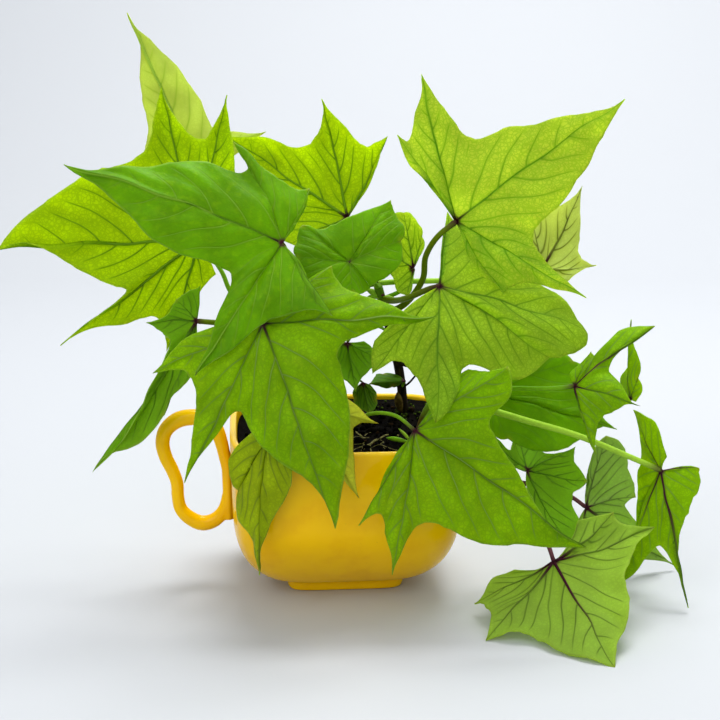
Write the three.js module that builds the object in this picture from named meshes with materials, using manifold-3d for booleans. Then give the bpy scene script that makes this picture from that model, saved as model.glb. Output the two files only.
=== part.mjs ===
// Sweet potato vine with lobed, heart-based leaves, growing in a glazed cup planter.
// Millimetres, +Z up, +X to the viewer's right, the viewer on the -Y side.
// The origin is the centre of the cup's foot, on the surface that it stands on.

import * as THREE from 'three';
import { mergeVertices } from 'three/addons/utils/BufferGeometryUtils.js';
import Module from 'manifold-3d';

const wasm = await Module();
wasm.setup();

// Cup planter: its rings are rounded squares, a little turned from the viewer
const CUP_HALF_WIDTH = 52;
const CUP_HEIGHT = 74.8;
const CUP_WALL = 3.2;
const CUP_TURN = THREE.MathUtils.degToRad(4.5);
const SQUARENESS = 4.8;
const FOOT_HALF_WIDTH = 26.6;
const FOOT_HEIGHT = 4.4;
const FOOT_SQUARENESS = 7;
// The foot is less deep than wide, and the body reaches its full depth at this height
const FOOT_DEPTH_SHARE = 0.76;
const FULL_DEPTH_HEIGHT = 40;
const CUP_FLOOR = 8;
const FLOOR_HALF_WIDTH = 30;
const FLOOR_RISE = 0.4;
// [half width, height] up the foot, then up the body to just under the lip
const FOOT_OUTSIDE = [
  [0, 0], [FOOT_HALF_WIDTH - 1.5, 0], [FOOT_HALF_WIDTH, 1], [FOOT_HALF_WIDTH + 0.4, FOOT_HEIGHT - 0.2],
];
const CUP_OUTSIDE = [
  [FOOT_HALF_WIDTH + 2.5, FOOT_HEIGHT + 0.6], [36, 7.4], [41, 11], [45.4, 16], [48.7, 23], [50.8, 32],
  [51.5, 46], [51.7, 60], [CUP_HALF_WIDTH - 0.1, 70],
];
// [step in from the outside, height] over the lip, from the outside to the inside
const LIP = [
  [0, CUP_HEIGHT - 1.6], [0.6, CUP_HEIGHT - 0.3], [1.6, CUP_HEIGHT], [2.6, CUP_HEIGHT - 0.4],
  [CUP_WALL, CUP_HEIGHT - 1.8],
];
const CUP_SIDES = 32;

// Handle: a kidney-shaped loop whose inner side lies along the wall as a bar
// [distance from the cup's axis, height] along its centre line, in the cup's own turned plane
const HANDLE_RADIUS = 3.3;
const BAR_RADIUS = 2.9;
const HANDLE_SIDES = 8;
const BAR_STEPS = 4;
const LOOP_STEPS = 34;
const HANDLE_BAR = [[-53, 29], [-53.1, 38], [-53.3, 50], [-53.8, 60]];
const HANDLE_LOOP = [
  [-54.3, 42], [-55.4, 33.6], [-59.8, 28.8], [-65.5, 27.4], [-71, 29.9], [-75.2, 34.5], [-76.4, 40],
  [-76.7, 47.2], [-78.7, 53.4], [-81.6, 60], [-82.8, 66.7], [-81, 72.6], [-75.6, 77.1], [-68.3, 78.3],
  [-62.3, 76.8], [-58.2, 72.6], [-56, 66], [-54.6, 56],
];

// Soil
const SOIL_TOP = 69;
// [share of its half width, rise over that height] from its edge to its middle
const SOIL_DOME = [[1, -1], [0.86, 0], [0.66, 0.4], [0.44, 0.8], [0.22, 1.1], [0, 1.2]];
// Waves that make its surface uneven: [rise, waves across, waves back, shift]
const SOIL_WAVES = [[0.45, 0.31, 0.27, 1.3], [0.45, 0.31, -0.27, 1.3], [0.55, 0.53, -0.61, 0]];
const GAP = 0.3;

// Plant
const BLADE_THICKNESS = 0.7;
const STALK_RADIUS = 1.15;
const STALK_SIDES = 6;
const STEM_SIDES = 8;

// Stems, from the soil upwards: [radius, centre line]
const STEMS = {
  woody_stem: [[2.2, [[28.5, 33, 60], [28, 31, 80], [25, 26, 100], [20, 15, 121], [16, 6, 137]]]],
  left_vine: [[1.8, [[-10, 8, 58], [-14, 4, 80], [-24, -3, 105], [-31, -8, 130], [-33, -9, 150],
    [-29, -6, 168]]]],
  right_vine: [
    [1.9, [[30, -2, 58], [33, -6, 78], [42, -13, 90], [52, -19, 92.5], [58, -23, 89]]],
    [1.6, [[44, -14, 90.6], [57, -13, 85], [66, -12, 67], [76, -12, 50], [86, -20, 36]]],
  ],
};

// The two edges of a lobe, from its tip to the corners beside it. Each pair is how far the edge
// draws in near the tip and how far it swells near the corner, as shares of the edge's length.
const POINTED = [0.05, 0.1, 0.05, 0.1];
const BLUNT = [-0.15, 0.15, -0.15, 0.15];
const ROUND = [-0.35, 0.15, -0.35, 0.15];

// Leaves. heart is where the stalk meets the blade; lobes are the lobe tips, in order round the
// blade from the stalk; each cut, between two lobes, and each rear corner are shares of the ways
// from the heart to the two lobes beside them; edges shapes each lobe's two edges.
// upper is 1 where the upper face looks at the viewer and -1 where the underside does.
const LEAVES = {
  left_high: {
    upper: -1, heart: [-65, 8, 158],
    lobes: [[-81, 2, 107], [-125, -14, 114], [-153, -8, 156], [-82, 24, 225], [-53, 28, 221]],
    cuts: [[0.47, 0.19], [0.41, 0.03], [0.13, 0.55], [0.13, 0.51]],
    rear: [[0.56, -0.27], [0.84, -0.38]],
    edges: [[0.05, -0.2, 0.05, 0.1], [0.1, 0.05, 0.05, 0], [0.3, 0.25, -0.15, 0.15],
      [-0.05, 0.1, 0.15, -0.1], POINTED],
    stalk: [[-28, -5, 117], [-50, 2, 134], [-55, 5, 144]],
  },
  left_front: {
    upper: 1, heart: [-25, -42, 164],
    lobes: [[-3, -60, 136], [-61, -64, 111], [-113, -52, 198], [-45, -26, 206], [-13, -32, 186]],
    cuts: [[0.34, 0.41], [0.28, 0.11], [0, 0.61], [0.29, 0.53]],
    rear: [[0.44, -0.02], [0.5, -0.03]],
    edges: [[0.15, -0.25, 0.2, -0.15], POINTED, [0, 0.25, 0.05, 0.2], [0.1, 0, -0.05, -0.1],
      POINTED],
    stalk: [[-33, -9, 148], [-24, -26, 148], [-21, -37, 155]],
  },
  centre_front: {
    upper: 1, heart: [-33, -50, 131],
    lobes: [[-4, -36, 153], [41, -46, 133], [-2, -80, 51], [-65, -70, 67], [-80, -54, 111]],
    cuts: [[0.62, 0.19], [0.33, 0.11], [0.07, 0.38], [0.22, 0.44]],
    rear: [[0.74, -0.05], [0.36, -0.12]],
    edges: [POINTED, [0.1, 0.05, 0, -0.05], [-0.1, 0.15, 0.2, 0.25], [0.1, 0.05, 0, 0],
      [0.05, -0.25, -0.05, 0.25]],
    stalk: [[-31, -8, 130], [-30, -26, 125], [-32, -42, 124]],
  },
  right_high: {
    upper: 1, heart: [50, -12, 169],
    lobes: [[25, 2, 206], [35, 12, 231], [123, -8, 222], [102, -52, 142], [69, -40, 141]],
    cuts: [[0.63, 0.17], [0.38, 0.16], [0.13, 0.36], [0.19, 0.65]],
    rear: [[0.34, 0.03], [0.59, -0.11]],
    edges: [[0.1, -0.2, 0.05, 0.1], POINTED, [0.05, 0.1, 0, 0.2], [0.05, 0, 0, -0.2], POINTED],
    stalk: [[19.5, 13, 123], [28, 8, 128], [36, 0, 141], [37, -8, 153], [42, -15, 163]],
  },
  right_middle: {
    upper: 1, heart: [42, -28, 143],
    lobes: [[47, 3, 172], [105, -30, 124], [89, -46, 115], [39, -66, 92], [14, -46, 109]],
    cuts: [[0.5, 0.35], [0.36, 0.72], [0.21, 0.39], [0.15, 0.57]],
    rear: [[0.37, 0.03], [0.61, -0.19]],
    edges: [[0.2, 0.2, 0.05, 0.1], [-0.25, 0.1, -0.35, 0.15], [0.05, 0.1, -0.4, 0.3],
      [-0.15, 0.15, -0.05, -0.1], [0.05, 0.1, -0.25, 0.3]],
    stalk: [[17.5, 9.5, 130], [23, 2, 131], [29, -12, 135], [38, -23, 141]],
  },
  right_shaded: {
    upper: 1, heart: [65, -8, 90],
    lobes: [[105, 0, 104], [125, -8, 74], [74, -14, 71]],
    cuts: [[0.14, 0.76], [0.8, 0.22]],
    rear: [[0.99, -0.25], [0.58, -0.12]],
    edges: [ROUND, [0.05, 0.1, 0.1, -0.15], ROUND],
    stalk: [[48, -17, 92], [54, -11, 94]],
  },
  right_front: {
    upper: 1, heart: [31, -55, 86],
    lobes: [[50, -44, 107], [69, -59, 115], [103, -70, 38], [22, -78, 29], [7, -70, 49]],
    cuts: [[0.59, 0.43], [0.43, 0.15], [0.09, 0.48], [0.24, 0.47]],
    rear: [[-0.01, 0.15], [0.36, -0.08]],
    edges: [POINTED, [0.05, 0.1, -0.45, 0.15], [0.2, 0.05, -0.05, 0.2], [0, -0.05, 0.05, 0.1],
      [0.05, 0.1, 0.15, 0.1]],
    stalk: [[-2, -20, 58], [2, -26, 78], [12, -36, 88], [23, -46, 90]],
  },
  on_table: {
    upper: -1, heart: [92, -52, 26],
    lobes: [[121, -36, 43], [138, -40, 38], [111, -104, 1], [60, -78, 1], [57, -49, 6]],
    cuts: [[0.66, 0.22], [0.5, 0.29], [0.27, 0.54], [0.51, 0.28]],
    rear: [[1.13, -0.44], [0.73, -0.3]],
    edges: [[0, 0.25, 0.05, 0.1], [0.2, -0.1, 0.05, -0.1], [-0.05, 0.15, -0.1, 0.15], POINTED,
      [0.05, 0.1, 0.1, 0.4]],
    stalk: [[86, -20, 36], [88, -34, 36], [90, -46, 32]],
  },
  runner_end: {
    upper: 1, heart: [143, -22, 58],
    lobes: [[160, -24, 60], [153, -46, 2], [128, -20, 4], [134, -8, 25], [132, -4, 82]],
    cuts: [[0.54, 0.27], [0.28, 0.24], [-0.17, 0.8], [0.08, 0.54]],
    rear: [[0.51, 0.02], [0.01, -0.21]],
    edges: [[0.25, -0.15, -0.05, 0.4], [0.15, -0.2, 0.1, 0.05], [-0.15, 0.05, 0.05, 0.1], POINTED,
      [0.05, 0.1, -0.2, 0.45]],
    stalk: [[57, -22.5, 89], [80, -27, 83], [104, -28, 76], [127, -26, 66]],
  },
  runner_upper: {
    upper: 1, heart: [101, -34, 100],
    lobes: [[109, -26, 113], [136, -26, 125], [128, -46, 95], [109, -48, 73]],
    cuts: [[0.36, 0.22], [0.25, 0.09], [0.22, 0.38]],
    rear: [[0.81, -0.24], [0.24, 0.03]],
    edges: [POINTED, [-0.4, 0.25, 0.15, 0], [0.2, 0.4, 0.3, 0.25], [0.05, 0.1, 0.1, 0]],
    stalk: [[53, -19, 92], [62, -25, 95], [74, -30, 98], [90, -34, 99]],
  },
  runner_thin: {
    upper: 1, heart: [133, 4, 84],
    lobes: [[130, 8, 88], [132, 6, 121], [135.5, 0, 95]],
    cuts: [[0, 0.45], [0.45, 0.5]],
    rear: [[0.68, -0.09], [0.72, -0.23]],
    edges: [ROUND, POINTED, ROUND],
    stalk: [[43, -13, 89.5], [55, -2, 93], [75, 9, 92], [100, 12, 88], [122, 9, 84]],
  },
  trailing_back: {
    upper: -1, heart: [112, -8, 36],
    lobes: [[122, 4, 66], [136, -2, 39], [156, 5, 2], [111, -6, 9]],
    cuts: [[0.43, 0.67], [0.49, 0.13], [0.25, 0.46]],
    rear: [[0.41, -0.08], [0.5, -0.08]],
    edges: [ROUND, POINTED, POINTED, ROUND],
    stalk: [[76, -12, 50], [92, -9, 46], [105, -8, 41]],
  },
  trailing_inner: {
    upper: 1, heart: [83, -18, 57],
    lobes: [[62, -24, 80], [82, 4, 71], [106, -10, 66], [111, -14, 51], [102, -34, 28]],
    cuts: [[0.27, 0.05], [0.08, 0.3], [0.5, 0.32], [0.52, 0.23]],
    rear: [[0.63, -0.3], [0.44, -0.22]],
    edges: [POINTED, ROUND, POINTED, BLUNT, ROUND],
    stalk: [[71, -12, 58.5], [76, -19, 60]],
  },
  top_centre: {
    upper: -1, heart: [2, 22, 166],
    lobes: [[-23, 14, 156], [-54, 40, 202], [-10, 42, 218], [20, 30, 202]],
    cuts: [[0.5, 0.48], [0.23, 0.4], [0.23, 0.51]],
    rear: [[0.69, -0.07], [0.73, -0.06]],
    edges: [ROUND, [0.05, 0.1, -0.1, 0.05], [0.2, 0, 0, 0.1], [0.05, 0.1, 0.1, -0.1]],
    stalk: [[-32, -8.5, 136], [-14, 6, 142], [-2, 16, 152]],
  },
  crown_front: {
    upper: 1, heart: [3, -12, 151],
    lobes: [[4, -18, 138], [-20, -20, 154], [-18, -12, 167], [22, 2, 177], [26, -6, 160]],
    cuts: [[0.76, 0.76], [0.5, 0.54], [0.7, 0.06], [0.62, 0.41]],
    rear: [[0.86, -0.2], [1.15, -0.61]],
    edges: [ROUND, ROUND, BLUNT, POINTED, ROUND],
    stalk: [[16, 6, 136], [14, 0, 140], [8, -5, 145]],
  },
  crown_back: {
    upper: -1, heart: [32, 6, 145],
    lobes: [[23, -2, 137], [18, 12, 154], [28, 18, 169], [36, 10, 159]],
    cuts: [[0.6, 0.52], [0.75, 0.51], [0.4, 0.76]],
    rear: [[0.54, -0.05], [0.4, -0.04]],
    edges: [ROUND, ROUND, ROUND, ROUND],
    stalk: [[17.5, 10, 130], [27, 12, 134], [31, 9, 140]],
  },
  small_hanging: {
    upper: 1, heart: [2, -14, 115],
    lobes: [[-5, -16, 111], [6, -24, 95], [14, -14, 109]],
    cuts: [[0.48, 0.66], [0.55, 0.37]],
    rear: [[0.61, -0.18], [0.69, -0.23]],
    edges: [ROUND, POINTED, ROUND],
    stalk: [[22.5, 20, 112], [15, 8, 118], [6, -8, 119]],
  },
  small_shaded: {
    upper: 1, heart: [9, -2, 94],
    lobes: [[5, -4, 87], [12, -8, 80], [15, -2, 86]],
    cuts: [[0.66, 0.47], [0.54, 0.58]],
    rear: [[0.71, -0.19], [0.72, -0.29]],
    edges: [ROUND, POINTED, ROUND],
    stalk: [[-16, 2.5, 86], [-6, 0, 94], [3, -2, 97]],
  },
  small_low: {
    upper: 1, heart: [29, 24, 88],
    lobes: [[23, 22, 86], [12, 14, 89], [19, 26, 91]],
    cuts: [[0.49, 0.52], [0.31, 0.84]],
    rear: [[0.65, -0.09], [0.75, -0.25]],
    edges: [ROUND, POINTED, ROUND],
    stalk: [[27.6, 30.6, 83], [28.2, 27.2, 85.5]],
  },
  yellowing: {
    upper: 1, heart: [-18, -50, 95],
    lobes: [[16, -46, 87], [7, -62, 58], [-12, -57, 75]],
    cuts: [[0.52, 0.16], [0.61, 0.2]],
    rear: [[0.66, -0.24], [0.5, -0.14]],
    edges: [[0.1, 0.2, 0.1, -0.2], POINTED, BLUNT],
    stalk: [[-8, -18, 58], [-9, -24, 82], [-14, -38, 94]],
  },
  over_rim: {
    upper: 1, heart: [-31, -57, 83],
    lobes: [[-20, -61, 76], [-35, -63, 23], [-44, -57, 60]],
    cuts: [[0, 0.69], [0.55, 0.39]],
    rear: [[0.7, -0.1], [0.72, -0.29]],
    edges: [[-0.35, 0.15, -0.1, 0.1], [0.05, 0.1, 0.1, 0.1], [-0.35, 0.15, -0.45, 0.35]],
    stalk: [[-16, -18, 58], [-19, -26, 78], [-25, -44, 85]],
  },
  left_folded: {
    upper: -1, heart: [-65, -10, 124],
    lobes: [[-79, -20, 83], [-111, -26, 58], [-89, -6, 123], [-75, -8, 133]],
    cuts: [[0.88, 0.09], [0.15, 0.11], [0.54, 0.16]],
    rear: [[0.94, -0.25], [1.8, -0.82]],
    edges: [[0.2, 0.15, 0.05, 0.1], [0.15, 0.3, 0.15, 0.05], POINTED, POINTED],
    stalk: [[-26, -4.5, 110], [-42, -7, 124], [-56, -9, 126]],
  },
  top_left: {
    upper: 1, heart: [-71, 42, 188],
    lobes: [[-94, 36, 195], [-102, 60, 258], [-37, 56, 203]],
    cuts: [[0.5, 0.23], [0.11, 0.37]],
    rear: [[0.6, -0.06], [0.47, -0.07]],
    edges: [POINTED, [0.2, 0.15, 0, 0.2], POINTED],
    stalk: [[-31, -7, 160], [-38, 14, 166], [-55, 36, 176]],
  },
  back_right: {
    upper: -1, heart: [91, 14, 143],
    lobes: [[87, 24, 163], [112, 34, 179], [115, 4, 147]],
    cuts: [[0.59, 0.35], [0.15, 0.47]],
    rear: [[0.58, -0.09], [0.6, -0.15]],
    edges: [ROUND, POINTED, [0.05, 0.1, 0.2, -0.05]],
    stalk: [[-28, -5, 118], [-8, 8, 130], [10, 13, 136], [45, 14, 138], [75, 14, 138]],
  },
};

// Blade form: rise of each ray from heart to edge, as shares of its length
const ARCH = 0.05;
const PLEAT = 0.05;
const EDGE_STEPS = 3;
const LONG_EDGE = 45;
const RINGS = 3;
const SMALL_LEAF = 48;

const MERGE_DISTANCE = 1e-4;

const vec = ([x, y, z]) => new THREE.Vector3(x, y, z);

// A closed geometry as a solid that can be joined and cut
function toManifold(geometry) {
  const bare = geometry.clone();
  for (const name of Object.keys(bare.attributes)) {
    if (name !== 'position') bare.deleteAttribute(name);
  }
  const merged = mergeVertices(bare, MERGE_DISTANCE);
  return new wasm.Manifold(new wasm.Mesh({
    numProp: 3,
    vertProperties: new Float32Array(merged.attributes.position.array),
    triVerts: new Uint32Array(merged.index.array),
  }));
}

function toGeometry(solid) {
  const mesh = solid.getMesh();
  const geometry = new THREE.BufferGeometry();
  geometry.setAttribute('position', new THREE.BufferAttribute(mesh.vertProperties, mesh.numProp));
  geometry.setIndex(Array.from(mesh.triVerts));
  geometry.computeVertexNormals();
  return geometry;
}

function circle(radius, sides) {
  const shape = new THREE.Shape();
  for (let k = 0; k < sides; k += 1) {
    const angle = (2 * Math.PI * k) / sides;
    const x = radius * Math.cos(angle);
    const y = radius * Math.sin(angle);
    if (k === 0) shape.moveTo(x, y);
    else shape.lineTo(x, y);
  }
  shape.closePath();
  return shape;
}

// A round rod along a smooth line through the given points
function rod(points, radius, sides, steps) {
  const path = new THREE.CatmullRomCurve3(points.map(vec), false, 'centripetal');
  const geometry = new THREE.ExtrudeGeometry(circle(radius, sides), {
    steps, extrudePath: path, bevelEnabled: false,
  });
  return toManifold(geometry);
}

// Turns a lathe profile of [half width, height] into a body whose rings are rounded rectangles
function squareLathe(profile, sides) {
  const turned = new THREE.LatheGeometry(profile.map(([r, z]) => new THREE.Vector2(r, z)), sides);
  const place = turned.attributes.position;
  for (let i = 0; i < place.count; i += 1) {
    const x = place.getX(i);
    const y = -place.getZ(i);
    const z = place.getY(i);
    const reach = Math.hypot(x, y) || 1;
    const power = z < FOOT_HEIGHT ? FOOT_SQUARENESS : SQUARENESS;
    const sum = Math.abs(x / reach) ** power + Math.abs(y / reach) ** power;
    const share = sum ? sum ** (-1 / power) : 1;
    const filled = THREE.MathUtils.smoothstep(z, FOOT_HEIGHT, FULL_DEPTH_HEIGHT);
    const depth = FOOT_DEPTH_SHARE + (1 - FOOT_DEPTH_SHARE) * filled;
    place.setXYZ(i, x * share, y * share * depth, z);
  }
  return turned.rotateZ(CUP_TURN);
}

function makeCup() {
  const inner = CUP_OUTSIDE.slice(2).map(([r, z]) => [r - CUP_WALL, z]);
  const profile = [
    ...FOOT_OUTSIDE, ...CUP_OUTSIDE, ...LIP.map(([step, z]) => [CUP_HALF_WIDTH - step, z]),
    ...inner.reverse(), [FLOOR_HALF_WIDTH, CUP_FLOOR + FLOOR_RISE], [0, CUP_FLOOR],
  ];
  let cup = toManifold(squareLathe(profile, CUP_SIDES));
  const turned = ([reach, z]) => [reach * Math.cos(CUP_TURN), reach * Math.sin(CUP_TURN), z];
  cup = cup.add(rod(HANDLE_BAR.map(turned), BAR_RADIUS, HANDLE_SIDES, BAR_STEPS));
  cup = cup.add(rod(HANDLE_LOOP.map(turned), HANDLE_RADIUS, HANDLE_SIDES, LOOP_STEPS));
  return cup;
}

function makeSoil() {
  const side = CUP_OUTSIDE.slice(2, -1).map(([r, z]) => [r - CUP_WALL - GAP, z]);
  const edge = CUP_HALF_WIDTH - CUP_WALL - 2 * GAP;
  const profile = [
    [0, CUP_FLOOR + GAP], [FLOOR_HALF_WIDTH - 1, CUP_FLOOR + FLOOR_RISE + GAP], ...side,
    ...SOIL_DOME.map(([share, rise]) => [edge * share, SOIL_TOP + rise]),
  ];
  const geometry = squareLathe(profile, CUP_SIDES);
  const place = geometry.attributes.position;
  for (let i = 0; i < place.count; i += 1) {
    const x = place.getX(i);
    const y = place.getY(i);
    const z = place.getZ(i);
    if (z < SOIL_TOP - 0.5) continue;
    const lumps = SOIL_WAVES.map(([rise, kx, ky, shift]) => rise * Math.sin(kx * x + ky * y + shift));
    place.setZ(i, z + lumps.reduce((sum, lump) => sum + lump));
  }
  return toManifold(geometry);
}

function makeStem(rods, extra) {
  const parts = rods.map(([radius, line]) => rod(line, radius + extra, STEM_SIDES, 4 * (line.length - 1)));
  return parts.reduce((whole, part) => whole.add(part));
}

// Points along one edge of a lobe, from its tip to the cut or rear corner beside it
function lobeEdge(heart, tip, corner, [draw, swell], steps) {
  const chord = corner.clone().sub(tip);
  const way = chord.clone().normalize();
  const out = corner.clone().sub(heart);
  out.addScaledVector(way, -out.dot(way)).setLength(chord.length());
  const first = tip.clone().addScaledVector(chord, 1 / 3).addScaledVector(out, -draw);
  const second = tip.clone().addScaledVector(chord, 2 / 3).addScaledVector(out, swell);
  return new THREE.CubicBezierCurve3(tip, first, second, corner).getPoints(steps);
}

// The blade's outline from one rear corner round to the other, with how far each point is from
// the nearest main vein: 0 at a lobe's tip and 1 at a cut
function bladeOutline(leaf) {
  const heart = vec(leaf.heart);
  const tips = leaf.lobes.map(vec);
  const last = tips.length - 1;
  const between = (a, b, [p, q]) => heart.clone()
    .addScaledVector(tips[a].clone().sub(heart), p)
    .addScaledVector(tips[b].clone().sub(heart), q);
  const corners = [
    between(0, 1, leaf.rear[0]),
    ...leaf.cuts.map((share, k) => between(k, k + 1, share)),
    between(last, last - 1, leaf.rear[1]),
  ];
  const outline = [];
  tips.forEach((tip, k) => {
    const counts = [corners[k], corners[k + 1]]
      .map((corner) => EDGE_STEPS + (corner.distanceTo(tip) > LONG_EDGE ? 1 : 0));
    const before = lobeEdge(heart, tip, corners[k], leaf.edges[k].slice(0, 2), counts[0]).reverse();
    const after = lobeEdge(heart, tip, corners[k + 1], leaf.edges[k].slice(2), counts[1]);
    before.forEach((place, i) => {
      if (k > 0 && i === 0) return;
      outline.push({ place, off: Math.sin((0.5 * Math.PI * (counts[0] - i)) / counts[0]) ** 2 });
    });
    after.slice(1).forEach((place, i) => {
      outline.push({ place, off: Math.sin((0.5 * Math.PI * (i + 1)) / counts[1]) ** 2 });
    });
  });
  return outline;
}

// Which way the blade's upper face looks
function upperSide(leaf) {
  const heart = vec(leaf.heart);
  const tips = leaf.lobes.map(vec);
  const middle = tips.reduce((far, tip) => (tip.distanceTo(heart) > far.distanceTo(heart) ? tip : far));
  const along = middle.clone().sub(heart);
  const across = tips[tips.length - 1].clone().sub(tips[0]);
  return across.cross(along).normalize().multiplyScalar(leaf.upper);
}

// A thin closed blade: rays from the heart to the outline, arched along each ray and pleated
// between the main veins, with the same triangles on both faces
function makeBlade(leaf) {
  const heart = vec(leaf.heart);
  const outline = bladeOutline(leaf);
  const up = upperSide(leaf);
  const reach = Math.max(...outline.map(({ place }) => place.distanceTo(heart)));
  const rings = reach < SMALL_LEAF ? RINGS - 1 : RINGS;
  const middle = [heart];
  for (let ring = 1; ring <= rings; ring += 1) {
    const share = ring / rings;
    for (const { place, off } of outline) {
      const ray = place.clone().sub(heart);
      const lift = ARCH * 4 * share * (1 - share) + PLEAT * off * Math.sin(Math.PI * share);
      const rise = lift * ray.length();
      middle.push(heart.clone().addScaledVector(ray, share).addScaledVector(up, rise));
    }
  }
  const count = outline.length;
  const at = (ring, k) => (ring === 0 ? 0 : 1 + (ring - 1) * count + k);
  const faces = [];
  for (let k = 0; k + 1 < count; k += 1) {
    faces.push([0, at(1, k), at(1, k + 1)]);
    for (let ring = 1; ring < rings; ring += 1) {
      faces.push([at(ring, k), at(ring + 1, k), at(ring + 1, k + 1)]);
      faces.push([at(ring, k), at(ring + 1, k + 1), at(ring, k + 1)]);
    }
  }
  const normals = middle.map(() => new THREE.Vector3());
  for (const [a, b, c] of faces) {
    const side = middle[b].clone().sub(middle[a]).cross(middle[c].clone().sub(middle[a]));
    for (const corner of [a, b, c]) normals[corner].add(side);
  }
  const half = BLADE_THICKNESS / 2;
  const front = middle.map((place, i) => place.clone().addScaledVector(normals[i].normalize(), half));
  const back = middle.map((place, i) => place.clone().addScaledVector(normals[i], -half));
  const places = [...front, ...back];
  const lower = (i) => i + middle.length;
  const index = [];
  for (const [a, b, c] of faces) index.push(a, b, c, lower(a), lower(c), lower(b));
  const rim = [0];
  for (let ring = 1; ring <= rings; ring += 1) rim.push(at(ring, 0));
  for (let k = 1; k < count; k += 1) rim.push(at(rings, k));
  for (let ring = rings - 1; ring >= 1; ring -= 1) rim.push(at(ring, count - 1));
  rim.forEach((a, i) => {
    const b = rim[(i + 1) % rim.length];
    index.push(b, a, lower(a), b, lower(a), lower(b));
  });
  const geometry = new THREE.BufferGeometry();
  geometry.setAttribute('position', new THREE.Float32BufferAttribute(places.flatMap((p) => [...p]), 3));
  geometry.setIndex(index);
  return toManifold(geometry);
}

// A leaf is its blade and its stalk; the stalk stops just short of the stem that it grows on
function makeLeaf(leaf, stems) {
  const end = vec(leaf.heart).addScaledVector(upperSide(leaf), 0.2);
  const line = [...leaf.stalk, [end.x, end.y, end.z]];
  const stalk = rod(line, STALK_RADIUS, STALK_SIDES, 2 * leaf.stalk.length);
  return stems.reduce((solid, stem) => solid.subtract(stem), makeBlade(leaf).add(stalk));
}

const LOOKS = {
  cup: { color: 0xc8950f, roughness: 0.18 },
  soil: { color: 0x17110c, roughness: 1 },
  woody_stem: { color: 0x2c1b12, roughness: 0.9 },
  vine: { color: 0x7f9b34, roughness: 0.6 },
  leaf: { color: 0x6fa320, roughness: 0.55 },
};

const plant = new THREE.Group();

function place(name, solid, look) {
  const material = new THREE.MeshStandardMaterial({ ...LOOKS[look], metalness: 0 });
  const mesh = new THREE.Mesh(toGeometry(solid), material);
  mesh.name = name;
  plant.add(mesh);
}

place('cup', makeCup(), 'cup');

const fatStems = Object.values(STEMS).map((rods) => makeStem(rods, GAP));
let soil = makeSoil();
for (const stem of fatStems) soil = soil.subtract(stem);
for (const leaf of Object.values(LEAVES)) {
  if (leaf.stalk[0][2] > SOIL_TOP) continue;
  soil = soil.subtract(rod(leaf.stalk, STALK_RADIUS + GAP, STALK_SIDES, 2 * leaf.stalk.length));
}
place('soil', soil, 'soil');

for (const [name, rods] of Object.entries(STEMS)) {
  place(name, makeStem(rods, 0), name === 'woody_stem' ? 'woody_stem' : 'vine');
}
for (const [name, leaf] of Object.entries(LEAVES)) place(`leaf_${name}`, makeLeaf(leaf, fatStems), 'leaf');

export default plant;
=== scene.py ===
# %% [markdown]
# # A sweet potato vine in a glazed cup
# The object is a young sweet potato vine in a mustard-yellow cup planter. Its solids are already packed as
# a fixed frame: a cup, the soil, three stems and 24 leaves. This lesson dresses each of them with a finer
# piece in the same place. A leaf could be a flat card with a picture of a leaf on it, but then its edge,
# its veins and its thickness would vanish from the side, so every blade here is modelled as a thin solid.

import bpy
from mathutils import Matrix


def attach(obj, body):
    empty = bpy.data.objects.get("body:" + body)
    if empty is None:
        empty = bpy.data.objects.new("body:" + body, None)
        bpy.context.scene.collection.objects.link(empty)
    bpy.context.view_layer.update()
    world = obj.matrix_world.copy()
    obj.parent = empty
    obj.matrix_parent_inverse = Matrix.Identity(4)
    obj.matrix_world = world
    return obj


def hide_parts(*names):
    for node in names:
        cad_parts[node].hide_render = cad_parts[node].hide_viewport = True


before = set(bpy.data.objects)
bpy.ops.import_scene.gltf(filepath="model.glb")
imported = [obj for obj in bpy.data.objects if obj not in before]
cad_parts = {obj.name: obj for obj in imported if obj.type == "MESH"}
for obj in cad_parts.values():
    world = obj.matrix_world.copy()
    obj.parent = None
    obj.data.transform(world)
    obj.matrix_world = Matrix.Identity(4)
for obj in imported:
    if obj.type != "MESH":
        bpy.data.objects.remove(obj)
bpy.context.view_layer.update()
print("solids in the frame:", len(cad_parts))

# %% Tools of the trade
import math

import bmesh
import bpy
import numpy as np
from mathutils import Vector, noise

MM = 0.001
scene = bpy.context.scene


def paint(red, green, blue):
    """A colour as a painter reads it off a chart, 0 to 255, turned into the light that it reflects."""
    def light(level):
        """The share of the light that one of the chart's numbers stands for."""
        level /= 255
        return level / 12.92 if level <= 0.04045 else ((level + 0.055) / 1.055) ** 2.4
    return (light(red), light(green), light(blue), 1.0)


# %% [markdown]
# ## The camera
# The picture was taken from a little above the rim, with a moderately long lens. The camera could be
# turned towards the object by a constraint, but a plain place and tilt are easier to check: the two
# numbers below put the cup's foot and the highest leaf tip where they belong.

# %% The camera
CAMERA_PLACE = (7.8 * MM, -684 * MM, 263 * MM)
CAMERA_TILT_DOWN = math.radians(13.1)
LENS = 77
SENSOR = 36

camera_data = bpy.data.cameras.new("camera")
camera_data.lens = LENS
camera_data.sensor_width = SENSOR
camera = bpy.data.objects.new("camera", camera_data)
camera.location = CAMERA_PLACE
camera.rotation_euler = (math.pi / 2 - CAMERA_TILT_DOWN, 0, 0)
scene.collection.objects.link(camera)
scene.camera = camera
scene.view_settings.view_transform = "Standard"
print("camera is", round(camera.location.length, 3), "m from the origin")

# %% [markdown]
# ## Helpers for materials
# A finish is a tree of small nodes. Adding them one by one takes many lines, so one helper adds a node,
# sets its properties and joins its inputs. The others use it for what comes back most: sums, soft steps,
# mixed colours, noise, values that the mesh carries, bumps, and the shader of a plain surface.


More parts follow.
